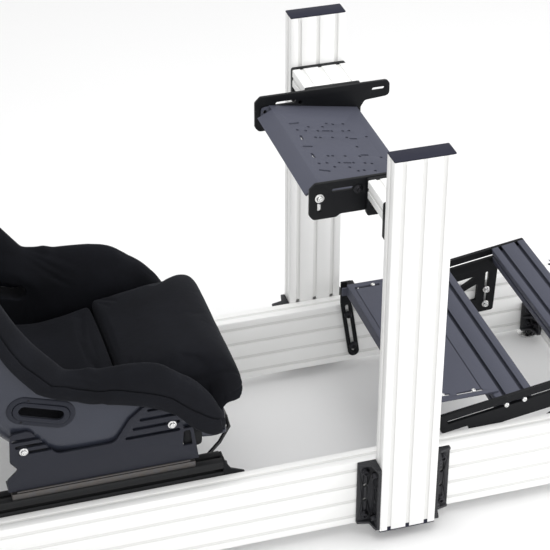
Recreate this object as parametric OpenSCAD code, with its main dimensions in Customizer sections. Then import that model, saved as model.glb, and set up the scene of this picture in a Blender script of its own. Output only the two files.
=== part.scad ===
// Sim racing cockpit: an open frame of slotted aluminium profiles with a
// wheel deck, a pedal deck and a bucket seat on sliders.
// +X points forward to the pedals, +Y to the driver's left, +Z up.
// The origin is on the floor, in the middle of the outline.

/* [Profiles] */
// Side of one profile cell
cell = 40; // [30:1:50]
// Width of a slot at the face
slot_w = 8.2; // [6:0.2:10]
// Thickness of the lips beside a slot
slot_lip = 4.5; // [3:0.5:6]
// Depth of a slot from the face
slot_depth = 12.5; // [10:0.5:14]
// Width of a slot behind its lips
slot_in_w = 20; // [16:1:22]
// Diameter of the hole through the core of each cell
core_d = 6.8; // [5:0.1:8]
// Radius of the outer corners of a profile
corner_r = 2; // [1:0.5:4]

/* [Base frame] */
// Length of the base rails
rail_len = 1640; // [1640:10:1800]
// Cells stacked in the height of a base rail
rail_cells = 4; // [3:1:4]
// Clear width between the base rails
rail_gap = 510; // [490:2:560]
// Height of the rails above the floor
foot_h = 26; // [24:1:40]
// Radius of the foot disc
foot_r = 25; // [20:1:32]
// Thickness of the plate that carries a foot
foot_plate_t = 8; // [6:1:12]
// Length of the plate that carries a foot
foot_plate_len = 60; // [56:2:90]
// Distance from a rail end to its foot
foot_inset = 48; // [44:1:80]
// Thickness of the plastic end caps
cap_t = 2.5; // [1.5:0.5:6]
// Cells in the height of the two cross members
cross_cells = 2; // [1:1:2]
// Distance from a rail end to the middle of a cross member
cross_inset = 20; // [20:1:60]

/* [Uprights] */
// Distance from the front end of the rails to the uprights
upright_back = 520; // [480:5:560]
// Length of an upright
upright_len = 868; // [800:1:950]
// Cells in the depth of an upright
upright_cells = 3; // [3:1:3]
// Width of the corner brackets at the foot of the uprights
foot_bracket_w = 39.5; // [34:0.5:39.5]
// Height of the corner brackets at the foot of the uprights
foot_bracket_h = 156; // [120:2:156]

/* [Wheel deck] */
// Height of the top of the arms above the rail bottoms
arm_top = 757; // [700:1:790]
// Thickness of the plates at the ends of an arm
arm_plate_t = 12; // [8:1:14]
// Height of the plates at the ends of an arm
arm_plate_h = 78; // [70:1:90]
// Clear width between the side brackets of the deck
deck_w = 360; // [330:2:380]
// Thickness of the side brackets
deck_bracket_t = 7; // [5:0.5:8]
// Sheet thickness of the deck
deck_t = 5; // [3:0.5:6]
// Length of the deck along its slope
deck_len = 204; // [198:1:220]
// Slope of the deck, falling to the front
deck_tilt = 9.6; // [6:0.2:12]
// Diameter of the small holes in the deck
deck_hole_d = 6.6; // [5:0.2:8]

/* [Pedal deck] */
// Slope of the pedal deck, rising to the front
pedal_tilt = 8.6; // [5:0.2:12]
// Sheet thickness of the side plates
pedal_side_t = 8; // [5:0.5:9]
// Distance between the two cross profiles, centre to centre
pedal_beam_gap = 196; // [150:2:210]
// Width of the heel plate
heel_w = 468; // [440:2:476]
// Depth of the heel plate from back to front
heel_d = 174; // [150:2:180]
// Sheet thickness of the heel plate
heel_t = 4; // [3:0.5:6]

/* [Seat rails and sliders] */
// Length of the profiles that carry the seat
seat_rail_len = 540; // [480:5:560]
// Height of their top above the rail bottoms
seat_rail_top = 192; // [184:1:200]
// Length of the upper slider
slider_len = 346; // [320:2:380]
// Width of the lower slider channel
slider_w = 34; // [30:1:38]
// Sheet thickness of the sliders
slider_t = 2.5; // [2:0.5:3]
// Sheet thickness of the seat side plates
side_plate_t = 5; // [4:0.5:6]

/* [Seat] */
// Length of the seat pan along its base
pan_len = 263; // [250:1:290]
// Radius of the bend between pan and back
bend_r = 260; // [250:1:290]
// Length of the straight part of the back
back_len = 590; // [540:5:620]
// Rise of the pan towards the front
pan_angle = 7; // [4:0.5:10]
// Lean of the back from upright
back_lean = 19.3; // [14:0.1:24]
// Half width of the shell at the hips
hip_half_w = 242; // [236:1:246]
// Wall of the shell
shell_t = 5; // [4:0.5:7]
// Height that the side rolls stand above the shell's edge
roll_h = 58; // [50:1:64]
// Thickness of the padding on the inside of the shell
roll_in = 44; // [36:1:50]
// Height of the cushion's top above the shell at its front
cushion_h = 86; // [78:1:92]
// Thickness of the padding on the back
pad_t = 42; // [34:1:48]
// Width of the cushion between the bolsters
cushion_w = 372; // [360:2:376]

/* [Hidden] */
$fn = 48;

eps = 0.01;
fit = 0.3;
soft_gap = 0.9;                // between padding and what carries it
white = [0.95, 0.95, 0.94];
black = [0.11, 0.11, 0.12];
slate = [0.38, 0.39, 0.43];
dark = [0.22, 0.23, 0.26];
zinc = [0.8, 0.8, 0.82];
cloth = [0.12, 0.12, 0.14];

// Lengths are taken from the rear face of the uprights in X, from the middle in Y
// and from the underside of the rails in Z; the whole is then moved to its origin.
up_depth = upright_cells * cell;
x_front = upright_back + up_depth;
x_rear = x_front - rail_len;
x_shift = -(x_front + x_rear) / 2;
rail_h = rail_cells * cell;
y_in = rail_gap / 2;
y_out = y_in + cell;

// The rounded corner b of the path a, b, c as points on an arc
function unit(v) = v / norm(v);
function corner(a, b, c, r, n) =
  let (u = unit(a - b), w = unit(c - b), half = acos(u * w) / 2,
       o = b + unit(u + w) * r / sin(half), p = b + u * r / tan(half),
       q = b + w * r / tan(half),
       a0 = atan2(p[1] - o[1], p[0] - o[0]), a1 = atan2(q[1] - o[1], q[0] - o[0]),
       d = (a1 - a0 + 900) % 360 - 180)
  r <= 0 ? [b] : [for (i = [0:n]) o + r * [cos(a0 + d * i / n), sin(a0 + d * i / n)]];
// A closed outline with all its corners rounded
function rounded(pts, r, n = 4) =
  [for (i = [0:len(pts) - 1]) let (m = len(pts))
    each corner(pts[(i + m - 1) % m], pts[i], pts[(i + 1) % m], is_list(r) ? r[i] : r, n)];
function box_pts(x0, y0, x1, y1) = [[x0, y0], [x1, y0], [x1, y1], [x0, y1]];

// A straight slot with round ends from a to b
module slot2(a, b, d) {
  translate(a) circle(d = d);
  translate(b) circle(d = d);
  translate(a) rotate(atan2(b[1] - a[1], b[0] - a[0])) translate([0, -d / 2]) square([norm(b - a), d]);
}
// The same slot as an outline of points
function slot_pts(a, b, d) = let (u = d / 2 * unit(b - a), v = [-u[1], u[0]])
  rounded([a - u - v, b + u - v, b + u + v, a - u + v], d * 0.49);
// A flat outline in X and Z, given a thickness along Y from y0 to y1
module along_y(y0, y1) {
  translate([0, max(y0, y1), 0]) rotate([90, 0, 0]) linear_extrude(abs(y1 - y0)) children();
}
module hole_y(x, z, d, y0, y1) {
  translate([x, max(y0, y1) + 1, z]) rotate([90, 0, 0]) cylinder(d = d, h = abs(y1 - y0) + 2);
}
module left() { mirror([0, 1, 0]) children(); }

// One slot of a profile, its mouth on the X axis and its depth along -Y
module slot_shape() {
  floor_w = slot_in_w / 2 - (slot_depth - slot_lip - 2) * 0.85;
  polygon([[-slot_w / 2, 1], [-slot_w / 2, -slot_lip], [-slot_in_w / 2, -slot_lip],
    [-slot_in_w / 2, -slot_lip - 2], [-floor_w, -slot_depth], [floor_w, -slot_depth],
    [slot_in_w / 2, -slot_lip - 2], [slot_in_w / 2, -slot_lip], [slot_w / 2, -slot_lip],
    [slot_w / 2, 1]]);
}
// Section of a slotted profile nx by ny cells
module section(nx, ny) {
  w = nx * cell;
  h = ny * cell;
  difference() {
    polygon(rounded(box_pts(-w / 2, -h / 2, w / 2, h / 2), corner_r, 2));
    for (i = [0:nx - 1], s = [0, 180])
      rotate(s) translate([(i - (nx - 1) / 2) * cell, h / 2]) slot_shape();
    for (j = [0:ny - 1], s = [90, 270])
      rotate(s) translate([(j - (ny - 1) / 2) * cell, w / 2]) slot_shape();
    for (i = [0:nx - 1], j = [0:ny - 1])
      translate([(i - (nx - 1) / 2) * cell, (j - (ny - 1) / 2) * cell]) circle(d = core_d, $fn = 24);
    // hollow chambers between two neighbouring cells
    cw = cell - slot_in_w - 5;
    ch = cell - 9;
    if (nx > 1) for (i = [1:nx - 1]) translate([(i - nx / 2) * cell, 0])
      polygon(rounded(box_pts(-cw / 2, -ch / 2, cw / 2, ch / 2), 2, 2));
    if (ny > 1) for (j = [1:ny - 1]) translate([0, (j - ny / 2) * cell])
      polygon(rounded(box_pts(-ch / 2, -cw / 2, ch / 2, cw / 2), 2, 2));
  }
}
module bar_x(x0, x1, y, z, ny, nz) {
  translate([x0, y, z]) rotate([90, 0, 90]) linear_extrude(x1 - x0) section(ny, nz);
}
module bar_y(y0, y1, x, z, nx, nz) {
  translate([x, y1, z]) rotate([90, 0, 0]) linear_extrude(y1 - y0) section(nx, nz);
}
// A cap for a profile end: a plate with a tongue in each slot, built on z = 0
tongue_h = 7;
module tongues(n, reach) for (i = [0:n - 1], s = [0, 180]) rotate(s)
  translate([(i - (n - 1) / 2) * cell - slot_w / 2 + fit, reach - slot_lip, -tongue_h])
    cube([slot_w - 2 * fit, slot_lip - fit, tongue_h + eps]);
module cap(nx, ny) {
  w = nx * cell;
  h = ny * cell;
  linear_extrude(cap_t) polygon(rounded(box_pts(-w / 2, -h / 2, w / 2, h / 2), corner_r, 2));
  tongues(nx, h / 2);
  rotate(90) tongues(ny, w / 2);
}
// A cast corner bracket in the corner of the planes x = 0 and y = 0: two legs, and webs
// with hollow fronts across them at the given heights, with a bolt hole between two cells
module cast_corner(size, t, h, cells, webs) {
  b = t + 3;
  difference() {
    union() {
      cube([size, t, h]);
      cube([t, size, h]);
      for (k = webs) translate([0, 0, k * (h - t)]) linear_extrude(t)
        polygon([[0, 0], [size, 0], [size, b], [b + 6, b + 6], [b, size], [0, size]]);
    }
    for (k = [0:cells - 1]) {
      z = t / 2 + (k + 0.5) * (h - t) / cells;
      translate([size * 0.58, -1, z]) rotate([-90, 0, 0]) cylinder(d = 8.4, h = t + 2);
      translate([-1, size * 0.58, z]) rotate([0, 90, 0]) cylinder(d = 8.4, h = t + 2);
    }
  }
}

// Base rails
module rail_right() color(white) bar_x(x_rear, x_front, -(y_in + cell / 2), rail_h / 2, 1, rail_cells);
module rail_left() color(white) left() bar_x(x_rear, x_front, -(y_in + cell / 2), rail_h / 2, 1, rail_cells);
module rail_end_caps() color(black)
  for (s = [-1, 1]) translate([0, s * (y_in + cell / 2), rail_h / 2]) {
    translate([x_front, 0, 0]) rotate([90, 0, 90]) cap(1, rail_cells);
    translate([x_rear, 0, 0]) rotate([90, 0, -90]) cap(1, rail_cells);
  }
cross_z = cross_cells * cell / 2;
module cross_rear() color(white) bar_y(-y_in, y_in, x_rear + cross_inset, cross_z, 1, cross_cells);
module cross_front() color(white) bar_y(-y_in, y_in, x_front - cross_inset, cross_z, 1, cross_cells);
// Cast brackets in the inner corners between cross members and rails
module cross_brackets() color(black) {
  h = cross_cells * cell - 4;
  for (s = [0, 1]) mirror([0, s, 0]) {
    translate([x_rear + cross_inset + cell / 2, -y_in, 2]) cast_corner(38, 6, h, cross_cells, [0, 0.5, 1]);
    translate([x_front - cross_inset - cell / 2, -y_in, 2]) mirror([1, 0, 0])
      cast_corner(38, 6, h, cross_cells, [0, 0.5, 1]);
  }
}
foot_x = [x_front - foot_inset, x_rear + foot_inset];
foot_y = y_in + cell / 2;
// Plates bolted under the rails, tapped for the feet
module foot_plates() color(black)
  for (s = [-1, 1], e = [0, 1]) translate([e == 0 ? x_front - foot_plate_len : x_rear, 0, 0])
    difference() {
      translate([0, s * foot_y - cell / 2, -foot_plate_t]) cube([foot_plate_len, cell, foot_plate_t]);
      translate([e == 0 ? foot_plate_len - foot_inset : foot_inset, s * foot_y, -foot_plate_t - 1])
        cylinder(d = 10.4, h = foot_plate_t + 2);
    }
// Feet: a dished disc, a nut and a stud that runs up into the slot of the rail
module levelling_feet() color(zinc)
  for (x = foot_x, s = [-1, 1]) translate([x, s * foot_y, -foot_h]) {
    rotate_extrude() polygon([[0, 0], [foot_r, 0], [foot_r, 3.5], [foot_r - 3, 4.5],
      [9, 8], [6, 11], [0, 11]]);
    translate([0, 0, foot_h - foot_plate_t - 7]) cylinder(d = 18, h = 7, $fn = 6);
    cylinder(d = 10, h = foot_h - fit);
  }

// Uprights stand outside the rails
up_y = y_out + cell / 2;
module upright_right() color(white) translate([up_depth / 2, -up_y, 0])
  linear_extrude(upright_len) section(upright_cells, 1);
module upright_left() color(white) left() translate([up_depth / 2, -up_y, 0])
  linear_extrude(upright_len) section(upright_cells, 1);
module upright_top_caps() color(dark) for (s = [-1, 1])
  translate([up_depth / 2, s * up_y, upright_len]) cap(upright_cells, 1);
module upright_bottom_caps() color(black) for (s = [-1, 1])
  translate([up_depth / 2, s * up_y, 0]) mirror([0, 0, 1]) cap(upright_cells, 1);
// Tall cast brackets that tie each upright to the outside of its rail
module foot_brackets(flip) mirror([0, flip, 0]) color(black) for (e = [0, 1])
  translate([e * up_depth, -y_out, rail_h - foot_bracket_h]) mirror([1 - e, 0, 0])
    mirror([0, 1, 0]) cast_corner(foot_bracket_w, 6, foot_bracket_h, rail_cells, [0, 1]);
module foot_brackets_right() foot_brackets(0);
module foot_brackets_left() foot_brackets(1);

// Short arms between the uprights and the wheel deck
bracket_y = deck_w / 2 + deck_bracket_t;
arm_y0 = bracket_y + arm_plate_t;
arm_y1 = y_out - arm_plate_t;
arm_z = arm_top - cell / 2;
module arm_right() color(white) bar_y(-arm_y1, -arm_y0, up_depth / 2, arm_z, upright_cells, 1);
module arm_left() color(white) left() bar_y(-arm_y1, -arm_y0, up_depth / 2, arm_z, upright_cells, 1);
// Plates at both ends of an arm, screwed to its end and to the neighbour's slots
module arm_plates(flip) mirror([0, flip, 0]) color(black) for (y = [-y_out, -arm_y0])
  difference() {
    along_y(y, y + arm_plate_t) polygon(rounded(
      box_pts(0, arm_top - arm_plate_h, up_depth, arm_top), 5));
    for (i = [0:upright_cells - 1]) hole_y((i + 0.5) * cell, arm_top - arm_plate_h + 20, 8.4,
      y, y + arm_plate_t);
  }
module arm_plates_right() arm_plates(0);
module arm_plates_left() arm_plates(1);

// Side bracket of the wheel deck: a long plate with an ear reaching forward. Its heights
// and those of the deck are taken from the top of the arms
bolt_front = [-15, -22];
module deck_bracket(flip) mirror([0, flip, 0]) translate([0, 0, arm_top]) color(black)
  difference() {
    along_y(-bracket_y, -deck_w / 2) difference() {
      polygon(rounded([[-112, -67], [-112, -11], [-100, 1], [180, 1], [180, -34], [126, -38],
        [106, -71], [-50, -71], [-58, -77], [-104, -77]], [8, 6, 6, 10, 10, 8, 10, 8, 8, 10]));
      slot2([-64, -18], [-28, -18], 8);
      slot2([-92, -57], [-92, -29], 8.4);
      slot2([145, -16], [166, -16], 8);
    }
    for (i = [0:upright_cells - 1]) hole_y((i + 0.5) * cell, 20 - arm_plate_h, 8.4,
      -bracket_y, -deck_w / 2);
    hole_y(bolt_front[0], bolt_front[1], 8.4, -bracket_y, -deck_w / 2);
  }
module deck_bracket_right() deck_bracket(0);
module deck_bracket_left() deck_bracket(1);

// Wheel deck. s runs down the slope from the rear edge, t across it
deck_at = [-92, arm_top - 17];
module on_deck() translate([deck_at[0], 0, deck_at[1]]) rotate([0, deck_tilt, 0]) children();
deck_fold = 10;
deck_flange = 34;
// Small holes as places along and across the deck, the same on both sides
deck_holes = [[37, 71], [54, 68.5], [65, 85], [96, 86], [109, 101], [122, 98], [145, 100],
  [80, 67.5], [110, 67.5], [134, 68.5], [148, 70.5], [66, 39.5], [76, 39], [102, 39.5],
  [133, 40], [177, 44.5]];
// Short slots from one place to another
deck_slots = [[[91, 68], [103, 68]], [[139, 35], [151, 35]], [[35, 31], [36, 45]],
  [[30, 98], [48, 102]]];
module wheel_deck() color(slate) on_deck() {
  hw = deck_w / 2 - fit;
  difference() {
    // flat top with its two side flanges folded down
    union() {
      translate([deck_fold, -hw, -deck_t]) cube([deck_len - deck_fold, 2 * hw, deck_t]);
      for (s = [0, 1]) mirror([0, s, 0]) along_y(-hw, -hw + deck_t)
        polygon(rounded([[-6, -6], [deck_fold + 4, 0], [deck_len, 0], [deck_len, -20],
          [deck_len - 12, -deck_flange], [20, -deck_flange], [-6, -26]], [6, 4, 0, 4, 6, 6, 8]));
      // rear edge folded down at 45 degrees
      along_y(-deck_w / 2 + 20, deck_w / 2 - 20) polygon([[deck_fold + 8, 0], [deck_fold, 0],
        [-18, -20], [-14.5, -23.5], [deck_fold + 2, -deck_t], [deck_fold + 8, -deck_t]]);
    }
    for (p = deck_holes, s = [-1, 1]) translate([p[0], s * p[1], -deck_t - 1])
      cylinder(d = deck_hole_d, h = deck_t + 2, $fn = 20);
    translate([141, 0, -deck_t - 1]) cylinder(d = deck_hole_d, h = deck_t + 2, $fn = 20);
    translate([0, 0, -deck_t - 1]) linear_extrude(deck_t + 2) {
      for (p = deck_slots, s = [-1, 1])
        polygon(slot_pts([p[0][0], s * p[0][1]], [p[1][0], s * p[1][1]], 5.5));
      polygon(slot_pts([28, 0], [44, 0], 6));
    }
    for (s = [0, 1]) mirror([0, s, 0]) hole_y(2, -13, 8.4, -hw, -hw + deck_t);
  }
}

// Pedal deck. s runs up the slope, the tops of the side plates and beams lie on t = 0
pedal_at = [170, 204.2];
module on_pedals() translate([pedal_at[0], 0, pedal_at[1]]) rotate([0, -pedal_tilt, 0]) children();
beam_s = 147.4;
beam_t = -cell / 2;
leg_x = 464;
pedal_out = y_in;
pedal_in = y_in - pedal_side_t;
leg_bolts = [rail_h * 0.625, rail_h * 0.875];
// Side plate: a slotted upper band, a leg with an upright slot and a sloping lower chord
module pedal_side(flip) mirror([0, flip, 0]) color(black) difference() {
  union() {
    on_pedals() along_y(-pedal_out, -pedal_in) difference() {
      polygon(rounded(box_pts(-19, -44, 385, 0), [6, 3, 6, 6]));
      slot2([0, beam_t], [370, beam_t], 8.4);
    }
    along_y(-pedal_out, -pedal_in) difference() {
      polygon(rounded([[215, 170], [222, 150], [440, 78], [484, 80], [490, 215], [300, 190]],
        [0, 4, 6, 6, 0, 0]));
      polygon(rounded([[285, 158], [444, 182], [396, 152], [310, 140]], [4, 3, 3, 4]));
      polygon(rounded([[330, 132], [398, 138], [442, 160], [440, 114], [400, 108]], 3));
      slot2([leg_x, 94], [leg_x, 184], 8.4);
    }
  }
  for (s = [beam_s, beam_s + pedal_beam_gap], e = [-1, 1]) on_pedals()
    hole_y(s + e * cell / 2, beam_t, 8.4, -pedal_out, -pedal_in);
}
module pedal_side_right() pedal_side(0);
module pedal_side_left() pedal_side(1);
module pedal_beam_rear() color(slate) on_pedals() bar_y(-pedal_in, pedal_in, beam_s, beam_t, 2, 1);
module pedal_beam_front() color(slate) on_pedals()
  bar_y(-pedal_in, pedal_in, beam_s + pedal_beam_gap, beam_t, 2, 1);

// Heel plate in front of the pedals: flat, with its rear edge folded down
heel_z = 226.6;
heel_x = 116;
module heel_plate() color(slate) {
  hw = heel_w / 2;
  difference() {
    union() {
      translate([heel_x, -hw, heel_z - heel_t]) cube([heel_d, heel_w, heel_t]);
      translate([heel_x, -hw, heel_z - 29]) cube([heel_t, heel_w, 29 - eps]);
      for (s = [0, 1]) mirror([0, s, 0]) translate([heel_x - 12, -hw, heel_z - 27]) cube([13, heel_t, 20]);
    }
    for (s = [-1, 1]) translate([0, 0, heel_z - heel_t - 1]) linear_extrude(heel_t + 2) {
      slot2([heel_x + 16, s * (hw - 18)], [heel_x + 68, s * (hw - 18)], 7);
      slot2([heel_x + 88, s * (hw - 14)], [heel_x + 140, s * (hw - 14)], 7);
    }
  }
}
// Leaning slotted strips that carry the heel plate from the rails
module heel_bracket(flip) mirror([0, flip, 0]) color(black) {
  a = [123.6, 150];
  b = [142.6, 28];
  d = unit(b - a);
  n = 13 * [-d[1], d[0]];
  neck = [heel_x - 8, heel_x + heel_t + 11];
  under = heel_z - heel_t;
  difference() {
    along_y(-y_in, -y_in + 5) polygon(rounded([[neck[0], under], [neck[0], 168], a - n,
      b + 13 * d - n, b + 13 * d + n, a + n, [neck[1], 172], [neck[1], under]],
      [0, 5, 6, 12.8, 12.8, 6, 5, 0]));
    along_y(-y_in - 1, -y_in + 6) slot2(a - 6 * d, b - 3 * d, 8.4);
  }
  // the top is turned in under the heel plate
  translate([heel_x + heel_t + fit, -y_in + 1, under - 5]) cube([16, y_in - heel_w / 2 + 18, 5]);
}
module heel_bracket_right() heel_bracket(0);
module heel_bracket_left() heel_bracket(1);

// Profiles that carry the seat, against the insides of the rails
seat_rail_x1 = -308;
seat_rail_x0 = seat_rail_x1 - seat_rail_len;
seat_rail_y = y_in - cell / 2;
seat_rail_z = seat_rail_top - cell / 2;
module seat_rail_right() color(black) bar_x(seat_rail_x0, seat_rail_x1, -seat_rail_y, seat_rail_z, 1, 1);
module seat_rail_left() color(black) left() bar_x(seat_rail_x0, seat_rail_x1, -seat_rail_y, seat_rail_z, 1, 1);
// Gusset plates at both ends that tie these profiles to the rails
module seat_rail_brackets() color(black) for (s = [0, 1], e = [0, 1]) mirror([0, s, 0])
  translate([e == 0 ? seat_rail_x1 : seat_rail_x0, 0, 0]) mirror([e, 0, 0]) {
    translate([0, -y_in, seat_rail_top - cell + 2]) cube([6, cell, cell - 5]);
    along_y(-y_in, -y_in + 5) polygon([[0, 120], [0, 189], [6, 189], [16, 172], [44, 160], [44, 120]]);
  }

// Sliders: a lipped channel below and a stem running in it
slide_y = seat_rail_y;
slide_x0 = -720;
slide_x1 = slide_x0 + slider_len;
lower_h = 14;
upper_z = seat_rail_top + lower_h + 2;
module slider_lower(flip) mirror([0, flip, 0]) color(dark) {
  w = slider_w / 2;
  t = slider_t;
  translate([slide_x0 - 10, -slide_y, seat_rail_top]) rotate([90, 0, 90])
    linear_extrude(slider_len + 20) polygon([[-w, 0], [w, 0], [w, lower_h], [w - 8, lower_h],
      [w - 8, lower_h - t], [w - t, lower_h - t], [w - t, t], [-w + t, t],
      [-w + t, lower_h - t], [-w + 8, lower_h - t], [-w + 8, lower_h], [-w, lower_h]]);
}
module slider_upper(flip) mirror([0, flip, 0]) color(dark) {
  w = slider_w / 2;
  t = slider_t;
  foot = t + 0.6;
  top = upper_z + 3 - seat_rail_top;
  translate([slide_x0, -slide_y, seat_rail_top]) rotate([90, 0, 90])
    linear_extrude(slider_len) polygon([[-w + t + 1, foot], [w - t - 1, foot],
      [w - t - 1, foot + 3], [6, foot + 3], [6, upper_z - seat_rail_top], [w, upper_z - seat_rail_top],
      [w, top], [-w, top], [-w, upper_z - seat_rail_top], [-6, upper_z - seat_rail_top],
      [-6, foot + 3], [-w + t + 1, foot + 3]]);
}
module slider_lower_right() slider_lower(0);
module slider_lower_left() slider_lower(1);
module slider_upper_right() slider_upper(0);
module slider_upper_left() slider_upper(1);

// Side plates of the seat: a foot on the slider and a slotted upright plate
plate_z = upper_z + 3;
plate_out = slide_y + 14;
plate_in = plate_out - side_plate_t;
seat_bolts = [[-700, 304], [-408, 305]];
plate_outline = rounded([[-736, plate_z], [-736, 240], [-713, 262], [-728, 282], [-724, 348],
  [-686, 350], [-637, 284], [-523, 285], [-492, 334], [-463, 358], [-424, 358], [-388, 330],
  [-386, 288], [-366, 290], [-356, plate_z]], [3, 6, 8, 6, 12, 14, 20, 20, 10, 10, 14, 10, 4, 4, 4]);
module seat_plate(flip) mirror([0, flip, 0]) color(dark) {
  difference() {
    along_y(-plate_out, -plate_in) difference() {
      polygon(plate_outline);
      for (k = [0:2]) slot2([-718 + 6 * k, 331 - 15.5 * k], [-664 + 8 * k, 331 - 15.5 * k], 8);
      slot2([-453, 349], [-424, 349], 7);
      for (k = [0:2]) slot2([-468 - 15 * k, 329 - 19.5 * k], [-396, 329 - 19.5 * k], 8);
      polygon(rounded([[-388, 247], [-385, 284], [-372, 284], [-368, 247]], 3));
    }
  }
  translate([-736, -plate_out, plate_z]) cube([380, side_plate_t + 27, side_plate_t]);
  // spacers between plate and shell
  for (b = seat_bolts) translate([b[0], -plate_in - 1, b[1]]) rotate([-90, 0, 0])
    cylinder(d = 22, h = plate_in + 1 - fit - max([for (a = [0:30:330]) shell_side(b + 11 * [cos(a), sin(a)])]));
}
module seat_plate_right() seat_plate(0);
module seat_plate_left() seat_plate(1);

// Release bar: two arms that hinge on the sliders and a cross bar under the cushion
bar_d = 8;
bar_pivot = [-430, 198];
bar_arm_y = slide_y - slider_w / 2 - 13;
function bar_pt(k) = [[bar_pivot[0], bar_arm_y, bar_pivot[1]], [-340, bar_arm_y, 163],
  [-292, 165, 172], [-268, 150, 196], [-268, 128, 206]][k];
module rod(a, b, d) {
  v = b - a;
  translate(a) rotate([0, acos(v[2] / norm(v)), atan2(v[1], v[0])]) cylinder(d = d, h = norm(v), $fn = 24);
}
module release_bar() color(dark) {
  for (s = [0, 1]) mirror([0, s, 0]) {
    for (k = [0:3]) rod(bar_pt(k), bar_pt(k + 1), bar_d);
    for (k = [1:4]) translate(bar_pt(k)) sphere(d = bar_d + 0.4, $fn = 24);
    translate([bar_pivot[0], bar_arm_y - bar_d / 2, bar_pivot[1]]) rotate([-90, 0, 0])
      cylinder(d = 12, h = slide_y - slider_w / 2 - bar_arm_y + bar_d / 2 - fit);
  }
  rod(bar_pt(4), [bar_pt(4)[0], -bar_pt(4)[1], bar_pt(4)[2]], bar_d);
}

// The seat is drawn on a line in the plane y = 0: a pan, a bend and a straight back.
// u runs along this line from the front, h stands square to it into the seat.
pan_at = [-252, 256];
turn = 90 - back_lean + pan_angle;
u_bend = pan_len;
u_back = pan_len + bend_r * turn * PI / 180;
u_top = u_back + back_len;
function seat_turn(u) = turn * min(1, max(0, (u - u_bend) / (u_back - u_bend)));
function seat_in(u) = let (a = 90 + pan_angle - seat_turn(u)) [cos(a), sin(a)];
function seat_on(u) = let (a = 180 + pan_angle - seat_turn(u)) [cos(a), sin(a)];
bend_at = pan_at + u_bend * seat_on(0) + bend_r * seat_in(0);
function seat_line(u) = u <= u_bend ? pan_at + u * seat_on(0)
  : bend_at - bend_r * seat_in(u) + max(0, u - u_back) * seat_on(u_top);
// A point of the seat from its place along, its distance from the middle and its height
function seat_pt(u, y, h) = let (p = seat_line(u) + h * seat_in(u)) [p[0], y, p[1]];
// A smooth line through places and values, with the slopes of its neighbours at each place
function slope(t, i) = let (n = len(t) - 1,
    a = i > 0 ? (t[i][1] - t[i - 1][1]) / (t[i][0] - t[i - 1][0]) : 0,
    b = i < n ? (t[i + 1][1] - t[i][1]) / (t[i + 1][0] - t[i][0]) : 0)
  i == 0 ? b : i == n ? a : a * b <= 0 ? 0 : 2 * a * b / (a + b);
function smooth(u, t) = let (i = max([0, for (k = [0:len(t) - 2]) if (t[k][0] <= u) k]),
    d = t[i + 1][0] - t[i][0], s = min(1, max(0, (u - t[i][0]) / d)))
  (1 + 2 * s) * (1 - s) * (1 - s) * t[i][1] + s * (1 - s) * (1 - s) * d * slope(t, i)
  + s * s * (3 - 2 * s) * t[i + 1][1] + s * s * (s - 1) * d * slope(t, i + 1);
// Half width and side height of the shell along the line
function shell_w(u) = hip_half_w + smooth(u, [[0, -20], [70, -8], [300, -4], [600, -2],
  [760, 8], [900, 22], [985, 24], [1040, 2], [1090, -48], [u_top, -118]]);
function shell_e(u) = smooth(u, [[0, 8], [60, 9], [103, 38], [140, 90], [212, 138], [298, 166],
  [420, 168], [537, 152], [715, 106], [980, 92], [1060, 62], [u_top, 26]]);
// The front of the shell stands back under the cushion, more so at the sides
lip_mid = 14;
lip_side = 44;
function lip(u, v) = max(0, 1 - u / 100) * (lip_mid + (lip_side - lip_mid) * v * v);
sq = 1 / 3;                    // a section is a rounded box, this is its power
// Across a section, t runs from -90 to 90 degrees
function sec_y(t, w) = sign(t) * w * pow(abs(sin(t)), sq);
function sec_h(t, e) = e * (1 - pow(max(0, cos(t)), sq));
// Half width of the outside of the shell at a place in X and Z
function shell_u(p) = p[0] > seat_line(u_bend)[0] ? (pan_at[0] - p[0]) / cos(pan_angle)
  : u_bend + bend_r * (90 + pan_angle - atan2(bend_at[1] - p[1], bend_at[0] - p[0])) * PI / 180;
function shell_side(p) = let (u = shell_u(p),
    h = (p - seat_line(u)) * seat_in(u) + shell_t, e = shell_e(u) + shell_t)
  (shell_w(u) + shell_t) * pow(1 - pow(1 - h / e, 2 / sq), sq / 2);
// A closed skin from two grids of points with the same numbers of rows and columns
module skin(front, back) {
  n = len(front);
  m = len(front[0]);
  function id(k, i, j) = (k * n + i) * m + j;
  polyhedron(points = concat([for (r = front) each r], [for (r = back) each r]),
    faces = concat(
      [for (i = [0:n - 2], j = [0:m - 2]) each [[id(0, i, j), id(0, i + 1, j), id(0, i, j + 1)],
        [id(0, i + 1, j), id(0, i + 1, j + 1), id(0, i, j + 1)]]],
      [for (i = [0:n - 2], j = [0:m - 2]) each [[id(1, i, j), id(1, i, j + 1), id(1, i + 1, j)],
        [id(1, i + 1, j), id(1, i, j + 1), id(1, i + 1, j + 1)]]],
      [for (i = [0:n - 2], e = [0, m - 1]) let (a = id(0, i, e), b = id(0, i + 1, e),
          c = id(1, i + 1, e), d = id(1, i, e))
        each e == 0 ? [[a, d, b], [d, c, b]] : [[a, b, d], [d, b, c]]],
      [for (j = [0:m - 2], e = [0, n - 1]) let (a = id(0, e, j), b = id(0, e, j + 1),
          c = id(1, e, j + 1), d = id(1, e, j))
        each e == 0 ? [[a, b, d], [d, b, c]] : [[a, d, b], [d, c, b]]]));
}
function steps(a, b, n) = [for (i = [0:n]) a + (b - a) * i / n];
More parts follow.
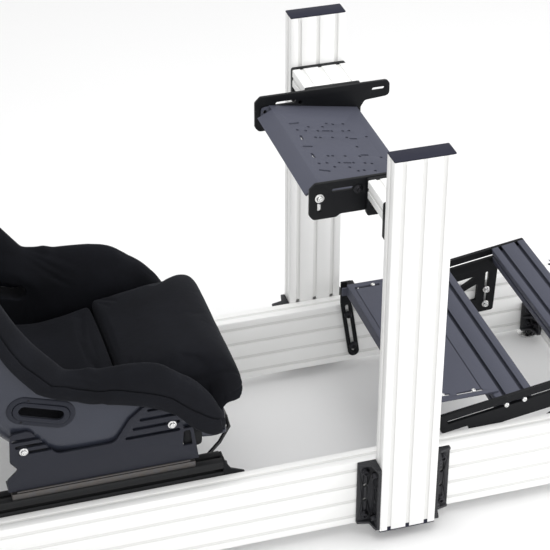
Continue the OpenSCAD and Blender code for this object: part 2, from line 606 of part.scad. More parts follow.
// Rows of the shell, closer together where its edge or its width turns
rows = concat([0, 8, 20, 36, 56, 78, 100, 112, 122, 130, 138, 146, 156, 170, 190, 212, 236],
  steps(u_bend, u_back, 16), [for (u = concat(steps(u_back + 27, 975, 12), [990, 1003, 1015, 1028, 1040,
    1051, 1062, 1076, 1090, 1112, 1136, 1160, 1184])) if (u < u_top - 8) u], [u_top]);

// A point of the shell: the inside, or the outside g away
function shell_pt(u, t, g) = let (v = u + lip(u, sec_y(t, 1)))
  seat_pt(v, sec_y(t, shell_w(v) + g), sec_h(t, shell_e(v) + g) - g);

// Place and tilt of the lap belt openings in the sides of the shell
belt_at = [-660, 386];
belt_tilt = -19;
module belt_shape(grow) translate(belt_at) rotate(belt_tilt)
  slot2([-36, 0], [36, 0], 40 + 2 * grow);
// Shoulder belt openings in the back
shoulder_u = 935;
shoulder_y = 95;
module shoulder_hole(grow) translate(seat_pt(shoulder_u, -shoulder_y, 0)) rotate([0, 90 - back_lean, 0])
  translate([0, 0, -40]) linear_extrude(160) polygon(rounded(box_pts(-26 - grow, -48 - grow,
    26 + grow, 48 + grow), 12));
module seat_shell() color(slate) difference() {
  ts = concat([-90, -87.5], steps(-83, 83, 22), [87.5, 90]);
  skin([for (u = rows) [for (t = ts) shell_pt(u, t, 0)]], [for (u = rows) [for (t = ts) shell_pt(u, t, shell_t)]]);
  for (s = [0, 1]) mirror([0, s, 0]) {
    along_y(-300, -150) belt_shape(fit);
    shoulder_hole(0);
  }
}
// Rims pressed into the lap belt openings
module belt_bezels() color(black) for (s = [0, 1]) mirror([0, s, 0])
  let (y = shell_side(belt_at)) along_y(-y - 4, -y + 2) difference() {
    belt_shape(0);
    translate(belt_at) rotate(belt_tilt) slot2([-34, 0], [34, 0], 22);
  }
// Height of the inside of the shell at a distance from the middle
function floor_h(u, y) = let (w = shell_w(max(0, u)), e = shell_e(max(0, u)))
  e * (1 - pow(1 - pow(min(1, abs(y) / w), 2 / sq), sq / 2));
function wall_y(u, h) = shell_w(u) * pow(1 - pow(1 - h / shell_e(u), 2 / sq), sq / 2);
// Across a cushion, v runs from -1 to 1, closer together near the seams
across = [-1, -0.985, -0.94, -0.86, -0.7, -0.45, -0.15, 0.15, 0.45, 0.7, 0.86, 0.94, 0.985, 1];
function puff(v) = pow(max(0, 1 - pow(abs(v), 12)), 0.3);
// A quarter circle that rises from 0 to 1 while x goes from 0 to r
function quarter(x, r) = x >= r ? 1 : sqrt(max(0, 1 - pow(1 - x / r, 2)));
// Places along the seat: the nose of the cushion, its seam to the rear, the end of the back
nose_u = -11;
seam_u = 228;
pad_end = u_top - 30;
cushion_rise = 20;
crown = 24;
// Seat cushion: a thick nose that overhangs the shell, a crowned top and a rounded rear end
module seat_cushion() {
  us = [nose_u, -10, -7, -1, 7, 18, 32, 55, 90, 130, 170, 200, 213, 221, 225, seam_u - 2];
  nose_h = cushion_h - 24;
  function half(u) = cushion_w / 2 - 22 * (1 - quarter(u - nose_u, 30));
  function top(u, v) = nose_h + 0.5 + (24 + cushion_rise * max(0, u) / seam_u) * quarter(u - nose_u, 18)
    + crown * max(0, u) / seam_u * (1 - v * v) - 24 * (1 - quarter(seam_u - 2 - u, 15));
  function under(u, y) = let (k = max(0, min(1, (u - 20) / 40)), f = floor_h(u, y) + soft_gap)
    (1 - k) * (nose_h - 0.5 - 30 * quarter(u - nose_u, 20)) + k * f;
  color(cloth) skin([for (u = us) [for (v = across) let (y = v * half(u), b = under(u, y))
      seat_pt(u, y, b + 1 + max(0, top(u, v) - b - 1) * puff(v))]],
    [for (u = us) [for (v = across) let (y = v * half(u)) seat_pt(u, y, under(u, y))]]);
}
// Rear cushion and back in one: it follows the bend and thins out up the back
module back_pad() {
  us = concat([seam_u + 2, 231, 235, 243, 260, 290], steps(325, 625, 9), steps(665, pad_end - 45, 8),
    [pad_end - 20, pad_end - 6, pad_end]);
  function half(u) = u < 425 ? cushion_w / 2 : min(shell_w(u) - roll_in - 10,
    cushion_w / 2 + (u - 425) * 0.2) - 26 * (1 - quarter(pad_end - u, 60));
  function top(u, v) = smooth(u, [[seam_u, cushion_h + cushion_rise], [310, cushion_h + 13],
      [445, pad_t + 27], [600, pad_t + 5], [800, pad_t], [pad_end, pad_t]])
    + smooth(u, [[seam_u, crown], [445, 14], [600, 6], [pad_end, 4]]) * (1 - v * v)
    - 24 * (1 - quarter(u - seam_u - 2, 15)) - (pad_t - 2) * (1 - quarter(pad_end - u, 30));
  color(cloth) difference() {
    skin([for (u = us) [for (v = across) let (y = v * half(u), f = floor_h(u, y) + soft_gap)
        seat_pt(u, y, f + 1 + max(0, top(u, v) - f - 1) * puff(v))]],
      [for (u = us) [for (v = across) seat_pt(u, v * half(u), floor_h(u, v * half(u)) + soft_gap)]]);
    for (s = [0, 1]) mirror([0, s, 0]) shoulder_hole(fit);
  }
}
// Side roll: it laps over the edge of the shell, droops at its front end and fills the
// corner between shell and cushion; c draws its ends in
roll_u = [lip_side - 1, 1062];
roll_form = [[43, 0.7], [63, 1.5], [92, 1.85], [134, 1.45], [220, 1.22], [300, 1], [640, 1.05],
  [771, 0.87], [980, 0.83], [1062, 0.4]];
function roll_ring(u, c) = let (w = shell_w(u), e = shell_e(u), r = roll_h * smooth(u, roll_form),
    h0 = 3 + e * 0.13, mid = w - 10, o = w + shell_t, i = w - roll_in,
    in_y = u < 425 ? cushion_w / 2 + 2 : i - 8 + (cushion_w / 2 + 10 - hip_half_w + roll_in)
      * max(0, (500 - u) / 75))
  [for (p = concat([for (h = steps(h0, e, 5)) [wall_y(u, h) - soft_gap, h]],
      [[o + 8, e + soft_gap], [o + 12, e + r * 0.28], [o + 8, e + r * 0.62], [w - 2, e + r * 0.92], [w - 14, e + r],
       [w - 27, e + r * 0.93], [i + 7, e + r * 0.68], [max(i - 1, in_y + 2), e + r * 0.3], [in_y, e * 0.9],
       [in_y, e * 0.5], [in_y, h0]])) let (y = mid + (p[0] - mid) * c)
    [p[1] > e ? y : min(y, wall_y(u, p[1]) - soft_gap), p[1]]];
module bolster(flip) mirror([0, flip, 0]) color(cloth) difference() {
  us = [for (u = rows) let (v = u + lip(u, 1)) if (v >= roll_u[0] && v <= roll_u[1]) v];
  rings = [for (u = us) let (k = min(quarter(u - roll_u[0] + 6, 45), quarter(roll_u[1] + 8 - u, 60)))
    [for (p = roll_ring(u, k)) seat_pt(u, -p[0], p[1])]];
  n = len(rings);
  m = len(rings[0]);
  polyhedron(points = [for (r = rings) each r], faces = concat(
    [for (i = [0:n - 2], j = [0:m - 1]) let (j2 = (j + 1) % m)
      each [[i * m + j, (i + 1) * m + j, i * m + j2], [(i + 1) * m + j, (i + 1) * m + j2, i * m + j2]]],
    [[for (j = [0:m - 1]) j]], [[for (j = [0:m - 1]) n * m - 1 - j]]));
  along_y(-300, -150) belt_shape(-6);
  // the flap hangs over the side plate
  along_y(-plate_out - 1, -plate_in + 1) offset(delta = 1) polygon(plate_outline);
}
module bolster_right() bolster(0);
module bolster_left() bolster(1);

module placed() translate([x_shift, 0, foot_h]) children();
placed() rail_right();
placed() rail_left();
placed() rail_end_caps();
placed() cross_rear();
placed() cross_front();
placed() cross_brackets();
placed() foot_plates();
placed() levelling_feet();
placed() upright_right();
placed() upright_left();
placed() upright_top_caps();
placed() upright_bottom_caps();
placed() foot_brackets_right();
placed() foot_brackets_left();
placed() arm_right();
placed() arm_left();
placed() arm_plates_right();
placed() arm_plates_left();
placed() deck_bracket_right();
placed() deck_bracket_left();
placed() wheel_deck();
placed() pedal_side_right();
placed() pedal_side_left();
placed() pedal_beam_rear();
placed() pedal_beam_front();
placed() heel_plate();
placed() heel_bracket_right();
placed() heel_bracket_left();
placed() seat_rail_right();
placed() seat_rail_left();
placed() seat_rail_brackets();
placed() slider_lower_right();
placed() slider_lower_left();
placed() slider_upper_right();
placed() slider_upper_left();
placed() seat_plate_right();
placed() seat_plate_left();
placed() release_bar();
placed() seat_shell();
placed() belt_bezels();
placed() seat_cushion();
placed() back_pad();
placed() bolster_right();
placed() bolster_left();
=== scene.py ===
# %% [markdown]
# # A sim racing cockpit, dressed in Blender
# The CAD model gives every stiff part of the cockpit: slotted profiles, plates, sliders and
# the seat's shell. This file adds what CAD leaves out: paint, cloth, padding, stitching,
# screws and washers. All measures are in millimetres from the rear face of the uprights (x),
# the middle of the frame (y) and the underside of the base rails (z); one function moves
# them to the model's own origin.

# %% Loading the model
import math

import bmesh
import bpy
import numpy as np
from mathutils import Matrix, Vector


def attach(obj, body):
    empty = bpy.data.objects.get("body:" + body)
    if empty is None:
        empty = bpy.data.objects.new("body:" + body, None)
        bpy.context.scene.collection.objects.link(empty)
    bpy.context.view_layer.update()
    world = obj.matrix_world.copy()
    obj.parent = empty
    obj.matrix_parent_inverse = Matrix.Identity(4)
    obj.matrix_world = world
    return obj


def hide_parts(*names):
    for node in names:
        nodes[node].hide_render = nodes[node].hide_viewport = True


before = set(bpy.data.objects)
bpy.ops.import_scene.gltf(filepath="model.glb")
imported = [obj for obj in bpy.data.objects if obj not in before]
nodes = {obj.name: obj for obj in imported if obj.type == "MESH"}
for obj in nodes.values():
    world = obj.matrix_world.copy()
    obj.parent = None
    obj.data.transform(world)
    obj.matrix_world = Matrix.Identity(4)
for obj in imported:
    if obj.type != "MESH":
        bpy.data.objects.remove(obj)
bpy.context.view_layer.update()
SHIFT = np.array([180.0, 0.0, 26.0])


def metres(p):
    """Workshop millimetres to the model's metres: add the shift, divide by a thousand."""
    return (np.asarray(p, float) + SHIFT) / 1000.0


# %% [markdown]
# ## The camera
# The photograph was taken from behind the driver's right shoulder with a long lens. The
# position and the angles come from fitting the straight edges of the uprights and rails.
# A long lens far away keeps parallel profiles nearly parallel, so the place matters as
# much as the angle.

# %% Camera
F_PX, PICTURE_PX, SENSOR = 1844.913, 550.0, 36.0
YAW, PITCH = 0.29331697, 0.57712821
eye = metres([-1040.80, -3036.895, 2508.846])
cam_data = bpy.data.cameras.new("camera")
cam_data.sensor_width = SENSOR
cam_data.lens = F_PX * SENSOR / PICTURE_PX
cam_data.clip_end = 60.0
camera = bpy.data.objects.new("camera", cam_data)
bpy.context.scene.collection.objects.link(camera)
camera.location = eye
camera.rotation_euler = (math.pi / 2 - PITCH, 0.0, -YAW)
bpy.context.scene.camera = camera
print("lens", round(cam_data.lens, 2), "eye", eye.round(3))

# %% [markdown]
# ## Meshes from arrays
# A surface here is always a grid of points: rows along the piece, columns around it. Two
# small helpers turn such a grid into faces, closing it around or at its ends, and hand the
# result to Blender in one call. That is quicker than building a mesh face by face, and the
# shape stays a formula that can be read.

# %% Grid and mesh helpers


def grid_faces(n, m, wrap=False):
    """Quads between n rows and m columns; with wrap the last column joins the first."""
    i, j = np.meshgrid(np.arange(n - 1), np.arange(m if wrap else m - 1), indexing="ij")
    k = (j + 1) % m
    return np.stack([i * m + j, i * m + k, (i + 1) * m + k, (i + 1) * m + j], -1).reshape(-1, 4)


def make(name, points, faces, body, slot, material=None, smooth=True, flip=False):
    """Put points (in millimetres) and faces into a mesh that moves with a CAD body."""
    me = bpy.data.meshes.new(name)
    faces = [tuple(int(v) for v in (f[::-1] if flip else f)) for f in faces]
    me.from_pydata(metres(points).tolist(), [], faces)
    me.polygons.foreach_set("use_smooth", np.full(len(me.polygons), smooth))
    me.update()
    ob = bpy.data.objects.new(name, me)
    bpy.context.scene.collection.objects.link(ob)
    if body:
        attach(ob, body)
    if material:
        me.materials.append(material)
    return ob


def outward(ob, merge=0.02):
    """Merge doubles closer than merge millimetres and turn all faces outwards."""
    bm = bmesh.new()
    bm.from_mesh(ob.data)
    bmesh.ops.remove_doubles(bm, verts=bm.verts, dist=merge / 1000.0)
    bmesh.ops.recalc_face_normals(bm, faces=bm.faces)
    bm.to_mesh(ob.data)
    bm.free()
    return ob


def smoothstep(x, a, b):
    """0 below a, 1 above b, an S-shaped cubic between."""
    t = np.clip((np.asarray(x, float) - a) / (b - a), 0, 1)
    return t * t * (3 - 2 * t)


def curve(x, table):
    """A smooth line through a table of knots: cubic pieces whose slopes never overshoot."""
    t = np.asarray(table, float)
    xs, ys = t[:, 0], t[:, 1]
    h = np.diff(xs)
    d = np.diff(ys) / h
    m = np.zeros(len(xs))
    m[1:-1] = np.where(d[:-1] * d[1:] > 0, 2 * d[:-1] * d[1:] / (d[:-1] + d[1:] + 1e-12), 0)
    m[0], m[-1] = d[0], d[-1]
    x = np.clip(x, xs[0], xs[-1])
    k = np.clip(np.searchsorted(xs, x, side="right") - 1, 0, len(h) - 1)
    s = (x - xs[k]) / h[k]
    return ((1 + 2 * s) * (1 - s) ** 2 * ys[k] + s * (1 - s) ** 2 * h[k] * m[k]
            + s * s * (3 - 2 * s) * ys[k + 1] + s * s * (s - 1) * h[k] * m[k + 1])


print("helpers ready")

# %% [markdown]
# ## Shader maths as expressions
# Materials are networks of nodes, which are tedious to wire by hand. The class below wraps
# one output socket, so that `a * 0.5 + b` adds the Math nodes by itself. Everything a
# surface needs, such as noise or a colour ramp, comes from one method, `node`.

# %% Material builder


class Sock:
    """One output socket; arithmetic on it adds Math nodes."""

    def __init__(self, mat, socket):
        self.mat, self.socket = mat, socket

    def _math(self, op, other, clamp=False):
        node = self.mat.tree.nodes.new("ShaderNodeMath")
        node.operation, node.use_clamp = op, clamp
        for k, v in enumerate([self, other]):
            self.mat.plug(node.inputs[k], v)
        return Sock(self.mat, node.outputs[0])

    def __add__(self, o): return self._math("ADD", o)
    def __sub__(self, o): return self._math("SUBTRACT", o)
    def __mul__(self, o): return self._math("MULTIPLY", o)
    def clamp(self): return self._math("ADD", 0.0, True)


class Finish:
    """A material under construction: its node tree, its shader and its object coordinates."""

    def __init__(self, name):
        self.material = bpy.data.materials.new(name)
        self.material.use_nodes = True
        self.tree = self.material.node_tree
        self.shader = self.tree.nodes["Principled BSDF"]
        self.place = self.node("ShaderNodeTexCoord", out="Object")

    def plug(self, socket, value):
        if isinstance(value, Sock):
            self.tree.links.new(value.socket, socket)
        else:
            socket.default_value = value

    def node(self, kind, settings=None, inputs=None, out=0):
        n = self.tree.nodes.new(kind)
        for k, v in (settings or {}).items():
            if k == "ramp":
                while len(n.color_ramp.elements) < len(v):
                    n.color_ramp.elements.new(0.5)
                for e, (pos, col) in zip(n.color_ramp.elements, v):
                    e.position, e.color = pos, (*col, 1)
            else:
                setattr(n, k, v)
        for k, v in (inputs or {}).items():
            self.plug(n.inputs[k], v)
        return Sock(self, n.outputs[out])

    def noise(self, scale, detail, rough=0.55, stretch=None):
        """Noise with features 1/scale metres across; stretch multiplies the three axes."""
        v = self.place
        if stretch:
            v = self.node("ShaderNodeMapping", None, {"Vector": v, "Scale": stretch})
        return self.node("ShaderNodeTexNoise", None,
                         {"Vector": v, "Scale": scale, "Detail": detail, "Roughness": rough})

    def ramp(self, fac, stops):
        """Colour from a value by a list of (place, colour)."""
        return self.node("ShaderNodeValToRGB", {"ramp": stops}, {"Fac": fac})

    def mix(self, fac, a, b):
        """Colour a where fac is 0, colour b where it is 1."""
        n = self.tree.nodes.new("ShaderNodeMix")
        n.data_type = "RGBA"
        self.plug(n.inputs[0], fac)
        for s, v in ((n.inputs[6], a), (n.inputs[7], b)):
            self.plug(s, v if isinstance(v, Sock) else (*v, 1.0))
        return Sock(self, n.outputs[2])

    def bump(self, height, strength, distance):
        """A bump of this height map feeds the shader's normal."""
        n = self.node("ShaderNodeBump", None,
                      {"Height": height, "Strength": strength, "Distance": distance}, "Normal")
        self.plug(self.shader.inputs["Normal"], n)

    def set(self, **sockets):
        """Values or links for the shader's sockets; underscores stand for spaces."""
        for k, v in sockets.items():
            s = self.shader.inputs[k.replace("_", " ")]
            self.plug(s, (*v, 1.0) if isinstance(v, tuple) and len(v) == 3 else v)
        return self


print("material builder ready")

# %% [markdown]
# ## Powder coat
# The profiles are white powder-coated aluminium, the plates are coated in slate grey or
# black. Powder coat melts into a skin with a very fine orange peel, glossy on the white
# and almost matt on the textured colours. The peel is far too small to model, so it is
# noise in the bump; a second, larger noise varies the gloss a little, as hands and dust do.

# %% Powder coats


def powder(name, colour, rough, grain, depth, spread=0.05, dust_and_top_light=0.0, spec=0.5):
    """Coating with a grain of 1/grain metres, a bump depth in metres and a colour spread."""
    f = Finish(name)
    big = f.noise(7.0, 3.0)
    mid = f.noise(60.0, 2.0)
    lo = tuple(c * (1 - spread) for c in colour)
    hi = tuple(min(1.0, c * (1 + spread)) for c in colour)
    col = f.mix(big, lo, hi)
    # Upward faces are painted a paler grey (0.55, 0.55, 0.53) in patches: partly settled dust,
    # partly painted top light that stands in for the pale reflection of the white studio above.
    if dust_and_top_light:
        up = f.node("ShaderNodeSeparateXYZ", None,
                    {"Vector": f.node("ShaderNodeNewGeometry", out="Normal")}, "Z")
        col = f.mix(((up - 0.6) * dust_and_top_light * mid).clamp(), col, (0.55, 0.55, 0.53))
    f.set(Base_Color=col, Roughness=(mid * 0.14 + big * 0.1 + (rough - 0.12)).clamp())
    f.bump(f.noise(grain, 2.0) + f.noise(grain * 2.7, 1.0) * 0.4, 0.5, depth)
    f.shader.inputs["Specular IOR Level"].default_value = spec
    return f.material


white_coat = powder("white_powder_coat", (0.92, 0.92, 0.91), 0.42, 620, 0.00006, 0.01)
slate_coat = powder("slate_powder_coat", (0.078, 0.082, 0.109), 0.56, 1500, 0.00009, 0.07,
                    0.01, 0.16)
black_coat = powder("black_powder_coat", (0.0075, 0.008, 0.0095), 0.5, 1500, 0.0001, 0.12,
                    0.02, 0.15)
black_anodised = powder("black_anodised", (0.012, 0.0125, 0.0135), 0.4, 2600, 0.00002, 0.1,
                        0.02, 0.2)
cast_coat = powder("black_cast_coat", (0.017, 0.0175, 0.021), 0.5, 420, 0.00022, 0.15,
                   0.03, 0.4)
cap_plastic = powder("cap_plastic", (0.02, 0.021, 0.036), 0.5, 1900, 0.00008, 0.08, 0.0, 0.12)
print("powder coats ready")

# %% [markdown]
# ## Bare and dark steel
# Screws are bright zinc: a thin metal film with a faint blue-yellow cast that shifts in
# patches. The sliders are cold-drawn and keep fine lines along their length, so their
# noise is stretched a hundredfold along x.

# %% Steels
ZINC_TINT, NO_TINT = (0.02, 0.0, -0.03), (0, 0, 0)


def steel(name, colour, rough, stretch, depth, metal=1.0, tint=ZINC_TINT):
    """Metal whose gloss varies in streaks; stretch sets the streaks' direction."""
    f = Finish(name)
    streak = f.noise(30.0, 5.0, stretch=stretch)
    patch = f.noise(90.0, 2.0)
    warm = tuple(max(0.0, c + t) for c, t in zip(colour, tint))
    f.set(Base_Color=f.mix(patch, colour, warm), Metallic=metal,
          Roughness=(streak * 0.22 + (rough - 0.1)).clamp())
    f.bump(streak, 0.3, depth)
    return f.material


zinc = steel("bright_zinc", (0.74, 0.75, 0.76), 0.26, (8, 8, 8), 0.00003)
drawn_steel = steel("drawn_steel", (0.1, 0.103, 0.115), 0.38, (1.5, 150, 150), 0.00004, 0.85)
plate_coat = powder("seat_plate_coat", (0.019, 0.0205, 0.029), 0.45, 1800, 0.00006, 0.06,
                    0.02, 0.2)
gloss_black = steel("gloss_black_bar", (0.012, 0.012, 0.014), 0.16, (20, 20, 20), 0.00001,
                    0.0, NO_TINT)
black_oxide = steel("black_oxide_screw", (0.03, 0.03, 0.034), 0.36, (10, 10, 10), 0.00003,
                    0.9, NO_TINT)
print("steels ready")

# %% [markdown]
# ## The seat's shell and cloth
# The shell is moulded glass fibre under a dark metallic gel coat: a soft sparkle below, a
# clear gloss above. The cushions wear a brushed velour. Its pile leans in soft patches, so
# light and dark drift over it without an edge; close up it is a fuzz of short fibres. The
# sheen that velour shows at its edges is one constant number on the shader.

# %% Shell and velour
gel = Finish("gel_coat")
flake = gel.node("ShaderNodeTexVoronoi", {"feature": "F1"},
                 {"Vector": gel.place, "Scale": 2600.0})
wave = gel.noise(5.0, 2.0)
gel.set(Base_Color=gel.mix((flake * 0.5 + wave * 0.5).clamp(),
                           (0.023, 0.026, 0.038), (0.04, 0.045, 0.065)),
        Metallic=0.3, Roughness=gel.noise(40.0, 3.0) * 0.12 + 0.3, Coat_Weight=0.35)
gel.shader.inputs["Coat Roughness"].default_value = 0.2
gel.shader.inputs["Specular IOR Level"].default_value = 0.3
gel.bump(gel.noise(26.0, 2.0), 0.15, 0.0004)
gel_coat = gel.material


def velour(name, colour, sheen):
    """Brushed pile: broad soft patches, a fine fuzz, and short creases in the bump."""
    f = Finish(name)
    patch = f.noise(9.0, 3.0, 0.6)
    lean = f.noise(45.0, 4.0, 0.65, stretch=(1.0, 2.4, 1.0))
    fuzz = f.noise(2400.0, 2.0)
    tone = ((patch - 0.5) * 1.1 + (lean - 0.5) * 0.7 + (fuzz - 0.5) * 0.5 + 0.5).clamp()
    lo = tuple(c * 0.62 for c in colour)
    hi = tuple(c * 1.5 for c in colour)
    f.set(Base_Color=f.mix(tone, lo, hi), Roughness=(lean * 0.15 + 0.82).clamp())
    f.shader.inputs["Sheen Weight"].default_value = sheen
    f.shader.inputs["Specular IOR Level"].default_value = 0.12
    f.shader.inputs["Sheen Roughness"].default_value = 0.45
    f.shader.inputs["Sheen Tint"].default_value = (0.5, 0.52, 0.6, 1)
    f.bump(fuzz * 0.35 + f.noise(700.0, 3.0) * 0.65 + lean * 1.5, 0.55, 0.0005)
    return f.material


seat_cloth = velour("seat_velour", (0.0068, 0.0073, 0.0098), 0.05)
bezel_plastic = powder("bezel_plastic", (0.021, 0.023, 0.032), 0.45, 2100, 0.00005, 0.06,
                       0.0, 0.14)
print("seat materials ready")

# %% [markdown]
# ## Dressing the CAD nodes
# Each CAD node keeps its mesh and gets its finish from one table, read from the photograph:
# white profiles, slate plates, black brackets. What the table doesn't name is black coated.

# %% Finish of each node
FINISH = {
    white_coat: "rail_right rail_left cross_rear cross_front upright_right upright_left "
                "arm_right arm_left",
    cap_plastic: "upright_top_caps upright_bottom_caps rail_end_caps",
    slate_coat: "wheel_deck heel_plate pedal_beam_rear pedal_beam_front",
    black_anodised: "seat_rail_right seat_rail_left",
    cast_coat: "foot_brackets_right foot_brackets_left cross_brackets",
    zinc: "levelling_feet",
    drawn_steel: "slider_lower_right slider_lower_left slider_upper_right slider_upper_left",
    plate_coat: "seat_plate_right seat_plate_left",
    gloss_black: "release_bar",
    gel_coat: "seat_shell",
    bezel_plastic: "belt_bezels",
}
finish_of = {n: m for m, names in FINISH.items() for n in names.split()}
print("finishes for", len(finish_of), "nodes")

# %% [markdown]
# ## Broken edges and smooth curves
# Real plates never have knife edges, so a small bevel modifier breaks them; without it no
# edge would catch the light. The imported triangles are loose, so a Weld comes first, and a
# tiny node group shades curved faces smooth while it keeps edges above 32 degrees sharp.

# %% Bevels and shading
SHARP, BEVEL_FROM = math.radians(32), math.radians(34)
group = bpy.data.node_groups.new("smooth_below_angle", "GeometryNodeTree")
group.interface.new_socket("Geometry", in_out="INPUT", socket_type="NodeSocketGeometry")
group.interface.new_socket("Geometry", in_out="OUTPUT", socket_type="NodeSocketGeometry")
g_in, g_out = group.nodes.new("NodeGroupInput"), group.nodes.new("NodeGroupOutput")
faces_on = group.nodes.new("GeometryNodeSetShadeSmooth")
faces_on.domain = "FACE"
edges_off = group.nodes.new("GeometryNodeSetShadeSmooth")
edges_off.domain = "EDGE"
edges_off.inputs["Shade Smooth"].default_value = False
angle = group.nodes.new("GeometryNodeInputMeshEdgeAngle")
above = group.nodes.new("FunctionNodeCompare")
above.data_type, above.operation = "FLOAT", "GREATER_THAN"
above.inputs[1].default_value = SHARP
group.links.new(g_in.outputs[0], faces_on.inputs["Geometry"])
group.links.new(faces_on.outputs[0], edges_off.inputs["Geometry"])
group.links.new(angle.outputs["Unsigned Angle"], above.inputs[0])
group.links.new(above.outputs[0], edges_off.inputs["Selection"])
group.links.new(edges_off.outputs[0], g_out.inputs[0])


def soften(ob, width_mm):
    """Weld loose triangles, break edges by width_mm and shade by angle, all as modifiers."""
    weld = ob.modifiers.new("weld", "WELD")
    weld.merge_threshold = 2e-6
    if width_mm:
        bevel = ob.modifiers.new("edges", "BEVEL")
        bevel.width, bevel.segments = width_mm / 1000.0, 2
        bevel.limit_method, bevel.angle_limit = "ANGLE", BEVEL_FROM
        bevel.use_clamp_overlap = True
    shade = ob.modifiers.new("shade", "NODES")
    shade.node_group = group


# bevel in millimetres for nodes whose names start so, the first match counts
EDGE = {"rail": 0.5, "upright_top": 0.8, "upright": 0.5, "cross_brackets": 1.0, "cross": 0.5,
        "arm_plates": 1.0, "arm": 0.5, "foot_brackets": 1.2, "foot": 0.8, "levelling": 0.5,
        "deck": 0.7, "wheel": 0.7, "pedal": 0.6, "heel": 0.6, "seat_rail": 0.5,
        "seat_plate": 0.7, "slider": 0.4, "belt": 1.0, "seat_shell": 1.2}
for name, ob in nodes.items():
    for s in ob.material_slots:
        s.material = finish_of.get(name, black_coat)
    soften(ob, next((w for k, w in EDGE.items() if name.startswith(k)), 0))
print("dressed", len(nodes), "nodes")

# %% [markdown]
# ## The line of the seat
# A bucket seat is one moulded shell: a nearly flat pan, a bend under the hips and a straight
# back. Everything on it is told as u along that line, y across and h square to the shell,
# so a cushion is written in the same way on the pan and up the back. The shell's half
# width and the height of its sides are two smooth tables along u.

# %% Seat line and shell
PAN, PAN_NORMAL = np.array([-252.0, 256.0]), 97.0
BEND_R, TURN, U_BEND, BACK_LEN = 260.0, 77.7, 263.0, 590.0
U_BACK = U_BEND + BEND_R * math.radians(TURN)
U_TOP = U_BACK + BACK_LEN


def seat_dirs(u):
    """Unit vectors along the seat line and square to it, turning steadily in the bend."""
    a = np.radians(PAN_NORMAL - TURN * np.clip((u - U_BEND) / (U_BACK - U_BEND), 0, 1))
    return np.stack([-np.sin(a), np.cos(a)], -1), np.stack([np.cos(a), np.sin(a)], -1)


(ON0, IN0), (ON1, IN1) = seat_dirs(np.array(0.0)), seat_dirs(np.array(U_TOP))
CENTRE = PAN + U_BEND * ON0 + BEND_R * IN0


def seat_point(u, y, h):
    """Millimetres from seat coordinates: along the line, across it and away from the shell."""
    u, y, h = np.broadcast_arrays(*(np.asarray(k, float) for k in (u, y, h)))
    on, inn = seat_dirs(u)
    line = np.where((u <= U_BEND)[..., None], PAN + u[..., None] * ON0,
                    CENTRE - BEND_R * inn + np.maximum(0, u - U_BACK)[..., None] * on)
    p = line + h[..., None] * inn
    return np.stack([p[..., 0], y, p[..., 1]], -1)


def seat_coords(p):
    """The way back: u and h of points given in millimetres."""
    q = np.stack([p[..., 0], p[..., 2]], -1)
    flat, back, c = q - PAN, q - (CENTRE - BEND_R * IN1), CENTRE - q
    turned = PAN_NORMAL - np.degrees(np.arctan2(c[..., 1], c[..., 0]))
    u = np.where(flat @ ON0 <= U_BEND, flat @ ON0, np.where(
        back @ ON1 >= 0, U_BACK + back @ ON1, U_BEND + turned / TURN * (U_BACK - U_BEND)))
    h = np.where(flat @ ON0 <= U_BEND, flat @ IN0, np.where(
        back @ ON1 >= 0, back @ IN1, BEND_R - np.hypot(c[..., 0], c[..., 1])))
    return u, h


def shell_w(u):
    """Half width of the shell."""
    return 242 + curve(u, [[0, -20], [70, -8], [300, -4], [600, -2], [760, 8], [900, 22],
                           [985, 24], [1040, 2], [1090, -48], [U_TOP, -118]])


def shell_e(u):
    """Height of the shell's sides."""
    return curve(u, [[0, 8], [60, 9], [103, 38], [140, 90], [212, 138], [298, 166], [420, 168],
                     [537, 152], [715, 106], [980, 92], [1060, 62], [U_TOP, 26]])


def wall_y(u, h):
    """Half width of the inside at height h: the section is a box rounded by sixth powers."""
    return shell_w(u) * (1 - (1 - np.clip(h / shell_e(u), 0, 1)) ** 6) ** (1 / 6)


def floor_h(u, y):
    """Height of the inside at y from the middle, the same section solved for height."""
    u = np.maximum(u, 0)
    return shell_e(u) * (1 - (1 - np.minimum(1, np.abs(y) / shell_w(u)) ** 6) ** (1 / 6))


def quarter(x, r):
    """A quarter circle that rises from 0 to 1 while x goes from 0 to r."""
    return np.sqrt(np.maximum(0, 1 - (1 - np.clip(x / r, 0, 1)) ** 2))


probe = seat_point(np.array([50.0, 400.0, 900.0]), 0.0, 40.0)
print("seat line goes there and back:", [k.round(1).tolist() for k in seat_coords(probe)])

# %% [markdown]
# ## Closed bodies
# Foam blocks, cutters, cover strips and screw heads are all stacks of rings, closed by a fan
# at each end. The functions below also read and move the points of a mesh in one call, and
# turn modifiers into the mesh, so that the next step starts from real points.

# %% Rings and mesh access


def tube(rings):
    """A closed body from a stack of rings (n, k, 3); each end is a fan to its middle."""
    n, k = rings.shape[:2]
    j = np.arange(k)
    first = np.stack([np.full(k, n * k), (j + 1) % k, j], -1)
    last = np.stack([np.full(k, n * k + 1), (n - 1) * k + j, (n - 1) * k + (j + 1) % k], -1)
    points = np.concatenate([rings.reshape(-1, 3), rings[:1].mean(1), rings[-1:].mean(1)])
    return points, grid_faces(n, k, True).tolist() + first.tolist() + last.tolist()


def get_points(mesh):
    """Points of a mesh in millimetres."""
    flat = np.empty(len(mesh.vertices) * 3)
    mesh.vertices.foreach_get("co", flat)
    return flat.reshape(-1, 3) * 1000.0 - SHIFT


def get_normals(mesh):
    """Normals at the points of a mesh."""
    flat = np.empty(len(mesh.vertices) * 3)
    mesh.vertices.foreach_get("normal", flat)
    return flat.reshape(-1, 3)


def set_points(mesh, points):
    """Move the points of a mesh to places in millimetres."""
    mesh.vertices.foreach_set("co", metres(points).ravel())
    mesh.update()


def bake(ob):
    """Turn an object's modifiers into its mesh."""
    graph = bpy.context.evaluated_depsgraph_get()
    mesh = bpy.data.meshes.new_from_object(ob.evaluated_get(graph))
    ob.modifiers.clear()
    ob.data = mesh
    return ob


